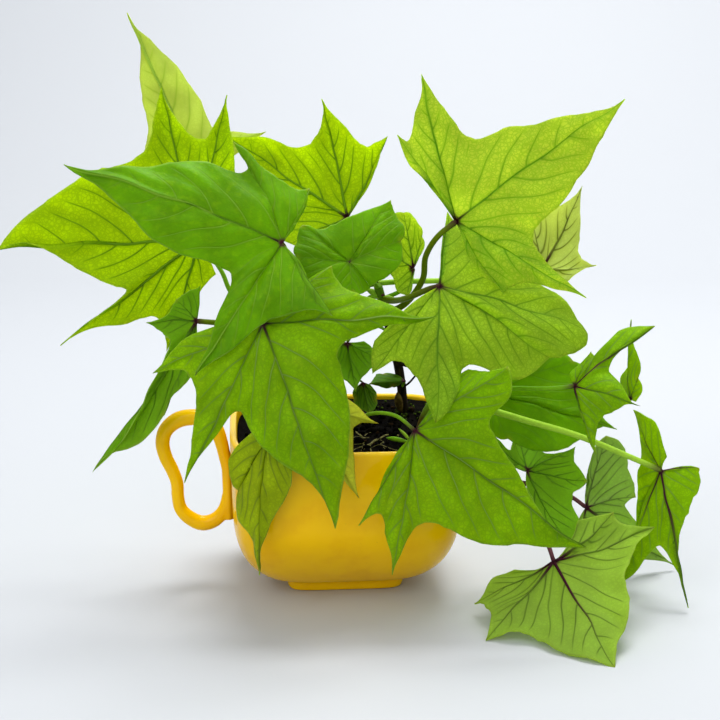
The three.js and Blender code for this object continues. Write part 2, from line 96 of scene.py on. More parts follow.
# %% Node helpers
def put(tree, kind, inputs=(), **settings):
    """Adds one node. inputs gives values or sockets for its inputs, by name or by place."""
    node = tree.nodes.new("ShaderNode" + kind)
    for key, value in settings.items():
        setattr(node, key, value)
    for key, value in dict(inputs).items():
        if isinstance(value, bpy.types.NodeSocket):
            tree.links.new(value, node.inputs[key])
        else:
            node.inputs[key].default_value = value
    return node


def calc(tree, operation, *values):
    """The result of one sum."""
    return put(tree, "Math", dict(enumerate(values)), operation=operation).outputs[0]


def fade(tree, value, start, end, low=0.0, high=1.0):
    """Turns smoothly from low to high as value goes from start to end."""
    inputs = {"Value": value, "From Min": start, "From Max": end, "To Min": low, "To Max": high}
    return put(tree, "MapRange", inputs, interpolation_type="SMOOTHSTEP").outputs[0]


def mingle(tree, share, first, second):
    """Two colours mixed by share."""
    return put(tree, "Mix", {0: share, 6: first, 7: second}, data_type="RGBA").outputs[2]


def cloud(tree, place, size_mm, detail=2.0, roughness=0.5):
    """Soft noise with patches about size_mm across."""
    inputs = {"Vector": place, "Scale": 1 / (size_mm * MM), "Detail": detail, "Roughness": roughness}
    return put(tree, "TexNoise", inputs).outputs[0]


def new_finish(name):
    """An empty material, its node tree and the socket of places on the object."""
    material = bpy.data.materials.new(name)
    material.use_nodes = True
    tree = material.node_tree
    tree.nodes.clear()
    return material, tree, put(tree, "TexCoord").outputs["Object"]


def stored(tree, name, form="Fac"):
    """What the mesh carries under a name: a number, or three of them where form is Vector."""
    return put(tree, "Attribute", attribute_name=name).outputs[form]


def bumped(tree, height, strength, depth_mm):
    """The surface's direction, bent as if height had raised it by up to depth_mm."""
    return put(tree, "Bump", {"Height": height, "Strength": strength, "Distance": depth_mm * MM}).outputs[0]


def surface(tree, colour, roughness, shine, **more):
    """A shader that throws light back."""
    inputs = {"Base Color": colour, "Roughness": roughness, "Specular IOR Level": shine, **more}
    return put(tree, "BsdfPrincipled", inputs).outputs[0]


def close_finish(tree, shader):
    """Ends a finish: the shader becomes the look of the surface."""
    put(tree, "OutputMaterial", {"Surface": shader})


print("node helpers ready")

# %% [markdown]
# ## The stage
# The plant stands on a pale sheet that runs up into the wall behind it, as in a small studio. A floor and
# a separate wall would show a line where they meet. One strip with a wide bend hides the horizon.

# %% The stage
FLOOR_HALF_WIDTH = 2.4
FLOOR_FRONT = -1.6
BEND_START = 0.75
BEND_RADIUS = 0.6
WALL_TOP = 2.2
BEND_STEPS = 24

strip = [(FLOOR_FRONT, 0.0)]
for step in range(BEND_STEPS + 1):
    turn = 0.5 * math.pi * step / BEND_STEPS
    strip.append((BEND_START + BEND_RADIUS * math.sin(turn), BEND_RADIUS * (1 - math.cos(turn))))
strip.append((BEND_START + BEND_RADIUS, WALL_TOP))
corners = [(side * FLOOR_HALF_WIDTH, y, z) for y, z in strip for side in (-1, 1)]
panels = [(2 * row, 2 * row + 1, 2 * row + 3, 2 * row + 2) for row in range(len(strip) - 1)]
sheet_mesh = bpy.data.meshes.new("studio_sheet")
sheet_mesh.from_pydata(corners, [], panels)
sheet_mesh.shade_smooth()
studio_sheet = bpy.data.objects.new("studio_sheet", sheet_mesh)
scene.collection.objects.link(studio_sheet)

sheet_finish, tree, _ = new_finish("pale paper")
close_finish(tree, surface(tree, paint(184, 187, 191), roughness=0.6, shine=0.5))
sheet_mesh.materials.append(sheet_finish)
print("stage strip has", len(panels), "panels")

# %% [markdown]
# ## The light
# The leaves glow, because much of the light comes from above and behind them and shines through. A lamp
# behind gives that glow, a broad lamp in front keeps the near sides from going dark, one more brightens
# the paper behind, and the pale sky fills the rest. A small weak lamp gives the glaze its glints. Sharper
# main lamps would throw hard shadows.

# %% The light
LAMPS = {
    "lamp_behind": {"place": (0.15, 0.5, 1.5), "aim": (0, 0, 0.1), "size": 0.85, "power": 24.0},
    "lamp_front": {"place": (-0.5, -1.4, 1.3), "aim": (0, 0, 0.1), "size": 1.8, "power": 15.0},
    "lamp_wall": {"place": (0.8, 0.5, 1.5), "aim": (0.25, 1.35, 0.6), "size": 1.0, "power": 9.0},
    "lamp_glint": {"place": (-0.7, -0.9, 1.0), "aim": (0, 0, 0.05), "size": 0.12, "power": 1.0},
}
SKY_COLOUR = (0.95, 0.97, 1.0, 1.0)
SKY_STRENGTH = 0.6

for name, lamp in LAMPS.items():
    lamp_data = bpy.data.lights.new(name, "AREA")
    lamp_data.shape = "DISK"
    lamp_data.size = lamp["size"]
    lamp_data.energy = lamp["power"]
    lamp_object = bpy.data.objects.new(name, lamp_data)
    lamp_object.location = lamp["place"]
    way = Vector(lamp["aim"]) - lamp_object.location
    lamp_object.rotation_euler = way.to_track_quat("-Z", "Y").to_euler()
    scene.collection.objects.link(lamp_object)

sky = bpy.data.worlds.new("sky")
sky.use_nodes = True
sky_node = sky.node_tree.nodes["Background"]
sky_node.inputs["Color"].default_value = SKY_COLOUR
sky_node.inputs["Strength"].default_value = SKY_STRENGTH
scene.world = sky
print("lamps:", ", ".join(LAMPS))

# %% [markdown]
# ## Lines and tubes
# Stems, stalks, roots and veins are all tubes that taper along a curved line. Blender's curve objects can
# do that, but a mesh keeps an even number of sides and can carry values along its length, which the
# finishes use. The line is a spline through a few points, and each ring of the tube turns with it.


# %% Lines and tubes
def smooth_line(points, steps):
    """Points along a spline through the given points, steps to each stretch between two of them. It is
    paced by the root of each gap, which keeps it from looping where given points lie close together."""
    given = np.array(points, float)
    given = np.vstack([2 * given[0] - given[1], given, 2 * given[-1] - given[-2]])
    line = [given[1]]
    for a, b, c, d in zip(given, given[1:], given[2:], given[3:]):
        gaps = [max(np.linalg.norm(q - p), 1e-9) ** 0.5 for p, q in ((a, b), (b, c), (c, d))]
        k0, k1, k2, k3 = np.cumsum([0.0] + gaps)
        for t in np.linspace(k1, k2, steps + 1)[1:]:
            ab = ((k1 - t) * a + (t - k0) * b) / (k1 - k0)
            bc = ((k2 - t) * b + (t - k1) * c) / (k2 - k1)
            cd = ((k3 - t) * c + (t - k2) * d) / (k3 - k2)
            abc = ((k2 - t) * ab + (t - k0) * bc) / (k2 - k0)
            bcd = ((k3 - t) * bc + (t - k1) * cd) / (k3 - k1)
            line.append(((k2 - t) * abc + (t - k1) * bcd) / (k2 - k1))
    return np.array(line)


def way_along(points):
    """How far along a line each of its points is."""
    return np.concatenate([[0], np.cumsum(np.linalg.norm(np.diff(points, axis=0), axis=1))])


def ring_faces(rings, sides, first=0):
    """Faces between closed rings of points that follow each other, from the point numbered first."""
    faces = []
    for low in range(first, first + (rings - 1) * sides, sides):
        for side in range(sides):
            beside = (side + 1) % sides
            faces.append((low + side, low + beside, low + beside + sides, low + side + sides))
    return faces


def tube(line, radii, sides):
    """A closed tube along a line: its points, its faces, and each point's share of the way along."""
    line = np.asarray(line, float)
    ways = np.gradient(line, axis=0)
    ways /= np.linalg.norm(ways, axis=1)[:, None] + 1e-12
    across = np.cross(ways[0], (0.3, 0.9, 0.2))
    rings = []
    for centre, way, radius in zip(line, ways, radii):
        across = across - way * np.dot(across, way)
        across /= np.linalg.norm(across)
        other = np.cross(way, across)
        for side in range(sides):
            turn = 2 * math.pi * side / sides
            rings.append(centre + radius * (math.cos(turn) * across + math.sin(turn) * other))
    faces = ring_faces(len(line), sides)
    faces.append(tuple(reversed(range(sides))))
    faces.append(tuple(range(len(rings) - sides, len(rings))))
    return np.array(rings), faces, np.repeat(np.linspace(0, 1, len(line)), sides)


def spindle(line, radius, sides=10):
    """A short tube that tapers to a point at both ends."""
    path = smooth_line(line, 6)
    swell = np.sin(math.pi * np.linspace(0, 1, len(path))) ** 0.7
    return tube(path, radius * np.maximum(0.08, swell), sides)


print("a straight test tube has", len(tube([(0, 0, 0), (0, 0, 1), (0, 0, 2)], [1, 1, 1], 8)[1]), "faces")

# %% [markdown]
# ## Pieces
# Each piece of the plant is one mesh of several closed shells, such as a blade, its ribs and its stalk.
# They could be made as objects and then joined. Gathering their points and faces first is quicker, and
# lets each shell carry the values that its finish reads.


# %% Pieces
def fill(columns, key, count, blank, numbers=()):
    """Fills a column with blanks up to count, then adds numbers to it."""
    column = columns.setdefault(key, [])
    column.extend([blank] * (count - len(column)))
    column.extend(numbers)
    return column


class Piece:
    """Gathers closed shells, in millimetres, into one mesh object, in metres."""

    def __init__(self, name):
        self.name = name
        self.points, self.faces, self.finish_of_face, self.flat = [], [], [], []
        self.point_values, self.corner_values = {}, {}
        self.corner_count = 0
        self.finishes = []

    def add(self, points, faces, finish, flat=(), corner_values=(), **values):
        """One shell in one finish. values holds a number for each point, by name, and corner_values three
        numbers for each corner of each face."""
        start = len(self.points)
        if finish not in self.finishes:
            self.finishes.append(finish)
        self.points.extend(map(tuple, points))
        self.faces.extend(tuple(start + corner for corner in face) for face in faces)
        self.finish_of_face.extend([self.finishes.index(finish)] * len(faces))
        self.flat.extend(k in flat for k in range(len(faces)))
        for key, numbers in values.items():
            fill(self.point_values, key, start, 0.0, numbers)
        for key, numbers in dict(corner_values).items():
            fill(self.corner_values, key, self.corner_count, (0.0, 0.0, 0.0), numbers)
        self.corner_count += sum(len(face) for face in faces)

    def make(self, slot, *nodes):
        """The mesh object: it rides on the plant's body and stands for the named solids."""
        mesh = bpy.data.meshes.new(self.name)
        mesh.from_pydata([(x * MM, y * MM, z * MM) for x, y, z in self.points], [], self.faces)
        mesh.polygons.foreach_set("use_smooth", [not flat for flat in self.flat])
        mesh.polygons.foreach_set("material_index", self.finish_of_face)
        for finish in self.finishes:
            mesh.materials.append(finish)
        for key in self.point_values:
            numbers = fill(self.point_values, key, len(self.points), 0.0)
            mesh.attributes.new(key, "FLOAT", "POINT").data.foreach_set("value", numbers)
        for key in self.corner_values:
            places = fill(self.corner_values, key, self.corner_count, (0.0, 0.0, 0.0))
            numbers = np.array(places, np.float32).ravel()
            mesh.attributes.new(key, "FLOAT_VECTOR", "CORNER").data.foreach_set("vector", numbers)
        piece = bpy.data.objects.new(self.name, mesh)
        scene.collection.objects.link(piece)
        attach(piece, "root")
        if nodes:
            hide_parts(*nodes)
        print(self.name, "has", len(self.faces), "faces, and stands for", *(nodes or ["no solid"]))


print("a piece starts with", len(Piece("test").faces), "faces")

# %% [markdown]
# ## The glaze
# The cup is earthenware under a thick, glossy mustard glaze. Such a glaze pools a little, so it is darker
# in soft patches, thins to a paler line on the lip, and its surface waves slightly, which bends the
# reflections. One glossy shader with a clear coat carries all of it, and soft noise gives the patches.

# %% The glaze
GLAZE = paint(245, 193, 0)
GLAZE_POOLED = paint(238, 182, 0)
GLAZE_THIN = paint(244, 210, 70)
# Dark glaze for the speckles, and also the painted shade in the crease by the handle
GLAZE_SPECK_AND_CREASE_SHADE = paint(150, 104, 0)

glaze, tree, place = new_finish("mustard glaze")
patches = fade(tree, cloud(tree, place, 14, 3, 0.55), 0.42, 0.72)
colour = mingle(tree, patches, GLAZE, GLAZE_POOLED)
speckle = fade(tree, cloud(tree, place, 1.1, 2, 0.6), 0.7, 0.82, 0.0, 0.5)
colour = mingle(tree, speckle, colour, GLAZE_SPECK_AND_CREASE_SHADE)
colour = mingle(tree, calc(tree, "MULTIPLY", stored(tree, "lip"), 0.35), colour, GLAZE_THIN)
# Painted shade: the glaze is darkened in a narrow band along the crease where the handle's bar meets the
# wall.
colour = mingle(tree, stored(tree, "groove"), colour, GLAZE_SPECK_AND_CREASE_SHADE)
fine_ripple = calc(tree, "MULTIPLY", cloud(tree, place, 1.6, 1), 0.08)
ripple = calc(tree, "ADD", cloud(tree, place, 9, 1), fine_ripple)
bump = bumped(tree, ripple, strength=0.35, depth_mm=0.6)
coat = {"Coat Weight": 0.17, "Coat Roughness": 0.06, "Coat Normal": bump}
close_finish(tree, surface(tree, colour, roughness=0.25, shine=0.06, Normal=bump, **coat))
print("glaze has", len(tree.nodes), "nodes")

# %% [markdown]
# ## The cup
# The real cup is thrown round and then squared, on a low foot, with a rolled handle stuck on. A cylinder
# could be squeezed into shape, but a turned profile whose rings are rounded squares gives the soft
# corners directly. The handle's bar and loop are tubes melted together by a voxel remesh, as wet clay
# would be, and sunk into the wall.

# %% The cup's profile
CUP_HALF_WIDTH = 52
CUP_HEIGHT = 74.8
CUP_WALL = 3.2
CUP_TURN = math.radians(4.5)
SQUARENESS = 4.8
FOOT_HALF_WIDTH = 26.6
FOOT_HEIGHT = 4.4
FOOT_SQUARENESS = 7
FOOT_DEPTH_SHARE = 0.76
FULL_DEPTH_HEIGHT = 40
CUP_FLOOR = 8
CUP_OUTSIDE = [
    (FOOT_HALF_WIDTH + 2.5, FOOT_HEIGHT + 0.6), (36, 7.4), (41, 11), (45.4, 16), (48.7, 23), (50.8, 32),
    (51.5, 46), (51.7, 60), (CUP_HALF_WIDTH - 0.1, 70),
]
CUP_SIDES = 192
LIP_RADIUS = CUP_WALL / 2
LIP_GLOW = 1.1

outside = [tuple(point) for point in smooth_line(CUP_OUTSIDE, 5)]
inside = [(reach - CUP_WALL, z) for reach, z in smooth_line(CUP_OUTSIDE[2:], 5)]
foot = [
    (0, 0), (12, 0), (FOOT_HALF_WIDTH - 2.4, 0), (FOOT_HALF_WIDTH - 1.5, 0.1), (FOOT_HALF_WIDTH - 0.6, 0.4),
    (FOOT_HALF_WIDTH - 0.1, 1.0), (FOOT_HALF_WIDTH + 0.2, 2.5), (FOOT_HALF_WIDTH + 0.2, FOOT_HEIGHT - 0.6),
    (FOOT_HALF_WIDTH + 0.5, FOOT_HEIGHT), (FOOT_HALF_WIDTH + 1.3, FOOT_HEIGHT + 0.35),
]
lip_centre = (CUP_HALF_WIDTH - LIP_RADIUS, CUP_HEIGHT - LIP_RADIUS)
lip = [
    (lip_centre[0] + LIP_RADIUS * math.cos(turn), lip_centre[1] + LIP_RADIUS * math.sin(turn))
    for turn in np.linspace(0, math.pi, 11)
]
floor = [(30, CUP_FLOOR + 0.4), (14, CUP_FLOOR + 0.1), (0, CUP_FLOOR)]
cup_profile = foot + outside + lip + inside[::-1] + floor
print("the cup's profile has", len(cup_profile), "points")


# %% Squared rings
def smooth_step(value, low, high):
    """Rises softly from 0 to 1 as value goes from low to high."""
    t = np.clip((value - low) / (high - low), 0, 1)
    return t * t * (3 - 2 * t)


def squared_rings(profile, sides):
    """A body whose rings are rounded rectangles, less deep than wide near the foot, and turned a little
    from the viewer. The profile gives half widths and heights, and starts and ends on the axis."""
    turns = np.linspace(0, 2 * math.pi, sides, endpoint=False)
    cosines, sines = np.cos(turns), np.sin(turns)
    points = [(0, 0, profile[0][1])]
    for reach, z in profile[1:-1]:
        softened = smooth_step(z, FOOT_HEIGHT - 1, FOOT_HEIGHT + 1)
        power = FOOT_SQUARENESS + (SQUARENESS - FOOT_SQUARENESS) * softened
        share = (np.abs(cosines) ** power + np.abs(sines) ** power) ** (-1 / power)
        depth = FOOT_DEPTH_SHARE + (1 - FOOT_DEPTH_SHARE) * smooth_step(z, FOOT_HEIGHT, FULL_DEPTH_HEIGHT)
        x, y = reach * share * cosines, reach * share * depth * sines
        x, y = (x * math.cos(CUP_TURN) - y * math.sin(CUP_TURN),
                x * math.sin(CUP_TURN) + y * math.cos(CUP_TURN))
        points.extend(zip(x, y, [z] * sides))
    points.append((0, 0, profile[-1][1]))
    end = len(points) - 1
    faces = [(0, 1 + (k + 1) % sides, 1 + k) for k in range(sides)]
    faces += ring_faces(len(profile) - 2, sides, 1)
    faces += [(end - sides + k, end - sides + (k + 1) % sides, end) for k in range(sides)]
    return np.array(points, float), faces


cup_points, cup_faces = squared_rings(cup_profile, CUP_SIDES)
print("cup wall has", len(cup_faces), "faces")

# %% The handle
# (distance from the cup's axis, height, radius), in the cup's own turned plane
HANDLE_BAR = [(-53, 29, 2.8), (-53.1, 38, 2.8), (-53.3, 50, 2.8), (-53.8, 60, 2.6)]
HANDLE_LOOP = [
    (-53.2, 48, 1.8), (-53.8, 40, 2.6), (-55.6, 33.4, 3), (-59.8, 28.8, 3.4), (-65.5, 27.4, 3.6),
    (-71, 29.9, 3.4), (-75.2, 34.5, 3.1), (-76.4, 40, 3), (-76.7, 47.2, 3), (-78.7, 53.4, 3.1),
    (-81.6, 60, 3.2), (-82.8, 66.7, 3.3), (-81, 72.6, 3.5), (-75.6, 77.1, 3.8), (-68.3, 78.3, 3.8),
    (-62.3, 76.8, 3.7), (-58.2, 72.6, 3.4), (-56, 66, 3.1), (-54.4, 58, 2.8), (-53.3, 49, 2),
]
# Painted shade along the crease between the handle's bar and the wall: where it lies, how wide it is and
# how dark
GROOVE_PLACE = -51.9
GROOVE_WIDTH = 1.0
PAINTED_CREASE_SHADE = 0.8
CLAY_VOXEL = 0.8 * MM
CLAY_SMOOTHING = 4
HANDLE_SIDES = 24


def melted(shells):
    """Overlapping shells melted into one skin and smoothed: its points in millimetres, and its faces."""
    points, faces = [], []
    for shell_points, shell_faces in shells:
        faces += [tuple(len(points) + corner for corner in face) for face in shell_faces]
        points += [(x * MM, y * MM, z * MM) for x, y, z in shell_points]
    mesh = bpy.data.meshes.new("clay")
    mesh.from_pydata(points, [], faces)
    clay = bpy.data.objects.new("clay", mesh)
    scene.collection.objects.link(clay)
    remesh = clay.modifiers.new("melt", "REMESH")
    remesh.mode = "VOXEL"
    remesh.voxel_size = CLAY_VOXEL
    smooth = clay.modifiers.new("smooth", "SMOOTH")
    smooth.factor = 0.5
    smooth.iterations = CLAY_SMOOTHING
    shape = clay.evaluated_get(bpy.context.evaluated_depsgraph_get()).to_mesh()
    points = np.array([tuple(vertex.co / MM) for vertex in shape.vertices])
    faces = [tuple(face.vertices) for face in shape.polygons]
    bpy.data.objects.remove(clay)
    return points, faces


handle_shells = []
for line in (HANDLE_BAR, HANDLE_LOOP):
    reach, z, radii = smooth_line(line, 6).T
    path = np.stack([reach * math.cos(CUP_TURN), reach * math.sin(CUP_TURN), z], axis=1)
    handle_shells.append(tube(path, radii, HANDLE_SIDES)[:2])
handle_points, handle_faces = melted(handle_shells)

cup = Piece("cup_glazed")
lip_glow = np.exp(-((cup_points[:, 2] - CUP_HEIGHT) / LIP_GLOW) ** 2)
cup.add(cup_points, cup_faces, glaze, lip=lip_glow)
reach = handle_points[:, 0] * math.cos(CUP_TURN) + handle_points[:, 1] * math.sin(CUP_TURN)
# How strongly each point of the handle takes the painted crease shade
groove = PAINTED_CREASE_SHADE * np.exp(-((reach - GROOVE_PLACE) / GROOVE_WIDTH) ** 2)
cup.add(handle_points, handle_faces, glaze, groove=groove)
cup.make("glaze", "cup")

# %% [markdown]
# ## The soil
# Potting mix is dark, damp and crumbly. A bump map alone would leave its edge against the wall straight,
# so the top is a fine mesh pushed up and down by noise, with some hundreds of crumbs pressed into it.

# %% The soil's finish
def earthy_finish(name, dark, light, size_mm, shine):
    """A rough finish that runs between two colours in patches of the given size."""
    material, tree, place = new_finish(name)
    colour = mingle(tree, fade(tree, cloud(tree, place, size_mm, 4, 0.6), 0.35, 0.7), dark, light)
    bump = bumped(tree, cloud(tree, place, 0.8, 3, 0.7), strength=0.9, depth_mm=0.5)
    close_finish(tree, surface(tree, colour, roughness=0.85, shine=shine, Normal=bump))
    return material


soil_finish = earthy_finish("damp potting mix", paint(3, 2, 1), paint(13, 10, 6), 3, 0.02)
chip_finish = earthy_finish("bark chips", paint(22, 15, 8), paint(58, 40, 18), 2, 0.03)
moss_finish = earthy_finish("moss", paint(24, 34, 6), paint(70, 88, 18), 2, 0.04)
root_finish = earthy_finish("pale root", paint(84, 80, 44), paint(140, 132, 84), 2, 0.08)
print("soil finishes ready")

# %% The soil's surface
SOIL_TOP = 69
SOIL_REACH = CUP_HALF_WIDTH - CUP_WALL - 0.4
SOIL_RINGS = 40
SOIL_SIDES = 96
SOIL_DOME = 1.2
SOIL_BANK = 3.8
BANK_RANGE = (14, 44)
SOIL_LUMP = 1.5
LUMPS_A_MM = 0.11
SOIL_GRAIN = 0.6
GRAINS_A_MM = 0.55


def soil_height(x, y):
    """Height of the soil's surface, in millimetres."""
    lump = noise.noise(Vector((x * LUMPS_A_MM, y * LUMPS_A_MM, 3.0)))
    grain = noise.noise(Vector((x * GRAINS_A_MM, y * GRAINS_A_MM, 9.0)))
    dome = SOIL_DOME * max(0.0, 1 - math.hypot(x, y) / SOIL_REACH)
    bank = SOIL_BANK * smooth_step(y, *BANK_RANGE)
    return SOIL_TOP + dome + bank + SOIL_LUMP * lump + SOIL_GRAIN * grain


side = [(reach - CUP_WALL - 0.3, z) for reach, z in CUP_OUTSIDE[2:-1]]
soil_profile = [(0, CUP_FLOOR + 0.3), (29, CUP_FLOOR + 0.7)] + side
soil_profile += [(SOIL_REACH * (1 - ring / SOIL_RINGS), SOIL_TOP) for ring in range(SOIL_RINGS + 1)]
soil_points, soil_faces = squared_rings(soil_profile, SOIL_SIDES)
for point in soil_points:
    if point[2] > SOIL_TOP - 0.1:
        point[2] = soil_height(point[0], point[1])
print("soil rises to", round(soil_points[:, 2].max(), 1), "mm")

# %% Crumbs, chips and moss
CRUMBS = 520
CRUMB_REACH = 0.94 * SOIL_REACH
CHIP_CHANCE = 0.16
MOSS_TUFTS = 46
MOSS_PLACE = (26, 32)
MOSS_SPREAD = 6
SOIL_LIMIT = 42
draw = np.random.default_rng(7)


def crumb(x, y, radius):
    """A small angular lump, half sunk in the soil."""
    lump = bmesh.new()
    bmesh.ops.create_icosphere(lump, subdivisions=1, radius=radius)
    points = np.array([tuple(vertex.co) for vertex in lump.verts])
    faces = [tuple(vertex.index for vertex in face.verts) for face in lump.faces]
    lump.free()
    points *= draw.uniform(0.65, 1.2, (len(points), 1)) * draw.uniform(0.5, 1.5, 3)
    return points + (x, y, soil_height(x, y) + 0.25 * radius), faces


soil = Piece("soil_crumbly")
soil.add(soil_points, soil_faces, soil_finish)
for _ in range(CRUMBS):
    turn, share = draw.uniform(0, 2 * math.pi), draw.uniform(0, 1) ** 0.5
    x, y = CRUMB_REACH * share * math.cos(turn), CRUMB_REACH * share * math.sin(turn)
    points, faces = crumb(x, y, 0.4 + 1.5 * draw.uniform(0, 1) ** 2)
    soil.add(points, faces, chip_finish if draw.uniform() < CHIP_CHANCE else soil_finish)
for _ in range(MOSS_TUFTS):
    x = draw.normal(MOSS_PLACE[0], MOSS_SPREAD)
    y = min(SOIL_LIMIT, draw.normal(MOSS_PLACE[1], MOSS_SPREAD))
    points, faces = crumb(x, y, draw.uniform(0.4, 0.9))
    soil.add(points + (0, 0, draw.uniform(0, 0.8)), faces, moss_finish)
print("soil has", len(soil.faces), "faces")

# %% The roots on the soil
# The knot of roots that shows at the front: each root's radius and its way over the soil
ROOT_KNOT = [
    [0.5, [(25.6, -6), (20.1, -6.5), (16.4, -11), (14.6, -14.3), (11.8, -20), (9.6, -28.7)]],
    [0.62, [(15.5, -12.5), (13.5, -17), (12, -23), (12.7, -30), (12.2, -38)]],
    [0.4, [(4.6, 4.1), (6.4, -4.4), (9.6, -14.3), (8.9, -22.4), (8.2, -31)]],
    [0.3, [(16.4, -11), (18.5, -16), (17, -22), (19, -27)]],
    [0.36, [(11.8, -20), (6, -26), (2, -34)]],
]
LOOSE_ROOTS = 12
LOOSE_ROOT_RADIUS = 0.3
ROOT_STEPS = 7
ROOT_STEP = 3.2
ROOT_TURN = 0.7

roots = [[radius, [(x, y, soil_height(x, y) + 0.5 * radius) for x, y in way]] for radius, way in ROOT_KNOT]
for _ in range(LOOSE_ROOTS):
    x, y = draw.uniform(-12, 34), draw.uniform(-40, -8)
    heading = draw.uniform(0, 2 * math.pi)
    line = []
    for _ in range(ROOT_STEPS):
        line.append((x, y, soil_height(x, y) + draw.uniform(-0.3, 0.6)))
        heading += draw.uniform(-ROOT_TURN, ROOT_TURN)
        x = min(SOIL_LIMIT, x + ROOT_STEP * math.cos(heading))
        y = max(-SOIL_LIMIT, y + ROOT_STEP * math.sin(heading))
    roots.append([LOOSE_ROOT_RADIUS, line])
for radius, line in roots:
    path = smooth_line(line, 4)
    points, faces, _ = tube(path, np.linspace(radius, 0.35 * radius, len(path)), 8)
    soil.add(points, faces, root_finish)
soil.make("soil", "soil")
print("roots on the soil:", len(roots))

# %% [markdown]
# ## Stems
# The old slip in the middle has turned woody and dark. The two young vines are green, swell a little
# where a leaf joins, and redden there. All three follow the same lines as their solids, with the radius
# varied along the way. The bark's furrows are cut by noise stretched along the stem.

# %% The stems' finishes
bark_finish, tree, place = new_finish("dark bark")
stretched = put(tree, "Mapping", {"Vector": place, "Scale": (1, 1, 0.18)}).outputs[0]
furrows = cloud(tree, stretched, 1.2, 4, 0.65)
colour = mingle(tree, fade(tree, furrows, 0.4, 0.75), paint(16, 11, 7), paint(54, 38, 24))
colour = mingle(tree, stored(tree, "young"), colour, paint(92, 128, 24))
bump = bumped(tree, furrows, strength=0.8, depth_mm=0.4)
close_finish(tree, surface(tree, colour, roughness=0.8, shine=0.12, Normal=bump))


def stalk_finish(name, fresh, reddened):
    """Green skin that turns to the second colour where the value named redness is high."""
    material, tree, place = new_finish(name)
    streaks = cloud(tree, place, 2.2, 3)
    share = calc(tree, "MULTIPLY", stored(tree, "redness"), fade(tree, streaks, 0.1, 0.6, 0.55, 1.0))
    paler = mingle(tree, fade(tree, streaks, 0.3, 0.8), fresh, tuple(min(1.0, 1.2 * c) for c in fresh))
    colour = mingle(tree, share, paler, reddened)
    bump = bumped(tree, streaks, strength=0.2, depth_mm=0.15)
    close_finish(tree, surface(tree, colour, roughness=0.45, shine=0.05, Normal=bump))
    return material


HEART_PURPLE = paint(96, 42, 62)
STALK_PURPLE = paint(64, 24, 38)
VINE_BROWN = paint(98, 84, 34)
vine_finish = stalk_finish("vine skin", paint(124, 168, 44), VINE_BROWN)
stub_finish = earthy_finish("brown stub", paint(58, 46, 18), paint(104, 86, 36), 3, 0.1)
STALK_FINISHES = {
    "green": stalk_finish("green stalk skin", paint(110, 160, 24), STALK_PURPLE),
    "dark": stalk_finish("dark stalk skin", paint(84, 104, 4), STALK_PURPLE),
    "pale": stalk_finish("pale stalk skin", paint(150, 190, 56), STALK_PURPLE),
    "olive": stalk_finish("olive stalk skin", paint(100, 140, 22), STALK_PURPLE),
    "purple": stalk_finish("purple stalk skin", paint(104, 62, 70), STALK_PURPLE),
}
print("stem finishes ready")

# %% The stems
# Each stem's rods, as (first radius, last radius, line). A vine that forks has two
STEMS = {
    "woody_stem": [[2.3, 2.0, [(28.5, 33, 60), (28, 31, 80), (25, 26, 100), (20, 15, 121), (16, 6, 137)]]],
    "left_vine": [[1.8, 1.6, [(-10, 8, 58), (-14, 4, 80), (-24, -3, 105), (-31, -8, 130), (-33, -9, 150),
                         (-29, -6, 168)]]],
    "right_vine": [
        [1.3, 1.9, [(33, -2, 58), (36.5, -5, 78), (43, -12, 89.5), (52, -19, 92.5), (58, -23, 89)]],
        [1.6, 1.4, [(44, -14, 90.6), (57, -13, 85), (66, -12, 67), (76, -12, 50), (86, -20, 36)]],
    ],
}
TWIGS = [
    [0.95, 0.9, [(25.5, 27, 97), (29.1, 26, 95.4), (32, 25, 95.2)]],
    [0.55, 0.45, [(28, 31, 83), (31.1, 28, 86.1), (34, 26, 90)]],
]
OLD_STUB = [(27.6, 30, 70), (26.2, 27.6, 77), (25.7, 26.8, 82)]
BARK_ENDS = (118, 128)
BROWN_FOOT = (72, 88)
FOOT_REDNESS = 1.4
JOINT_SPACING = 27
JOINT_WIDTH = 2.2
JOINT_SWELL = 0.2
STEM_SIDES = 16
STUB_RADIUS = 2.0


def stem_radii(path, first, last):
    """The radius at each point, from the first to the last and swollen at each joint, and what is joint."""
    along = way_along(path)
    joint = np.exp(-(((along % JOINT_SPACING) - JOINT_SPACING / 2) / JOINT_WIDTH) ** 2)
    return (first + (last - first) * along / along[-1]) * (1 + JOINT_SWELL * joint), joint


for name, rods in STEMS.items():
    woody = name == "woody_stem"
    stem = Piece(name + "_grown")
    for first, last, line in rods + (TWIGS if woody else []):
        path = smooth_line(line, 12)
        radii, joint = stem_radii(path, first, last)
        points, faces, _ = tube(path, radii, STEM_SIDES)
        browned = FOOT_REDNESS * (1 - smooth_step(points[:, 2], *BROWN_FOOT))
        stem.add(points, faces, bark_finish if woody else vine_finish,
                 redness=np.maximum(np.repeat(joint, STEM_SIDES), browned),
                 young=smooth_step(points[:, 2], *BARK_ENDS))
    if woody:
        points, faces, _ = spindle(OLD_STUB, STUB_RADIUS, STEM_SIDES)
        stem.add(points, faces, stub_finish)
    stem.make("bark" if woody else "vine", name)

# %% [markdown]
# ## Young growth
# A cluster of buds with small folded leaves sits on the pale stalk at the back of the crown, and a sprout
# and a short green stub come out of the soil. Each is too small to show more than a swelling that tapers
# at both ends, so each is a spindle: a short tube pinched to a point.

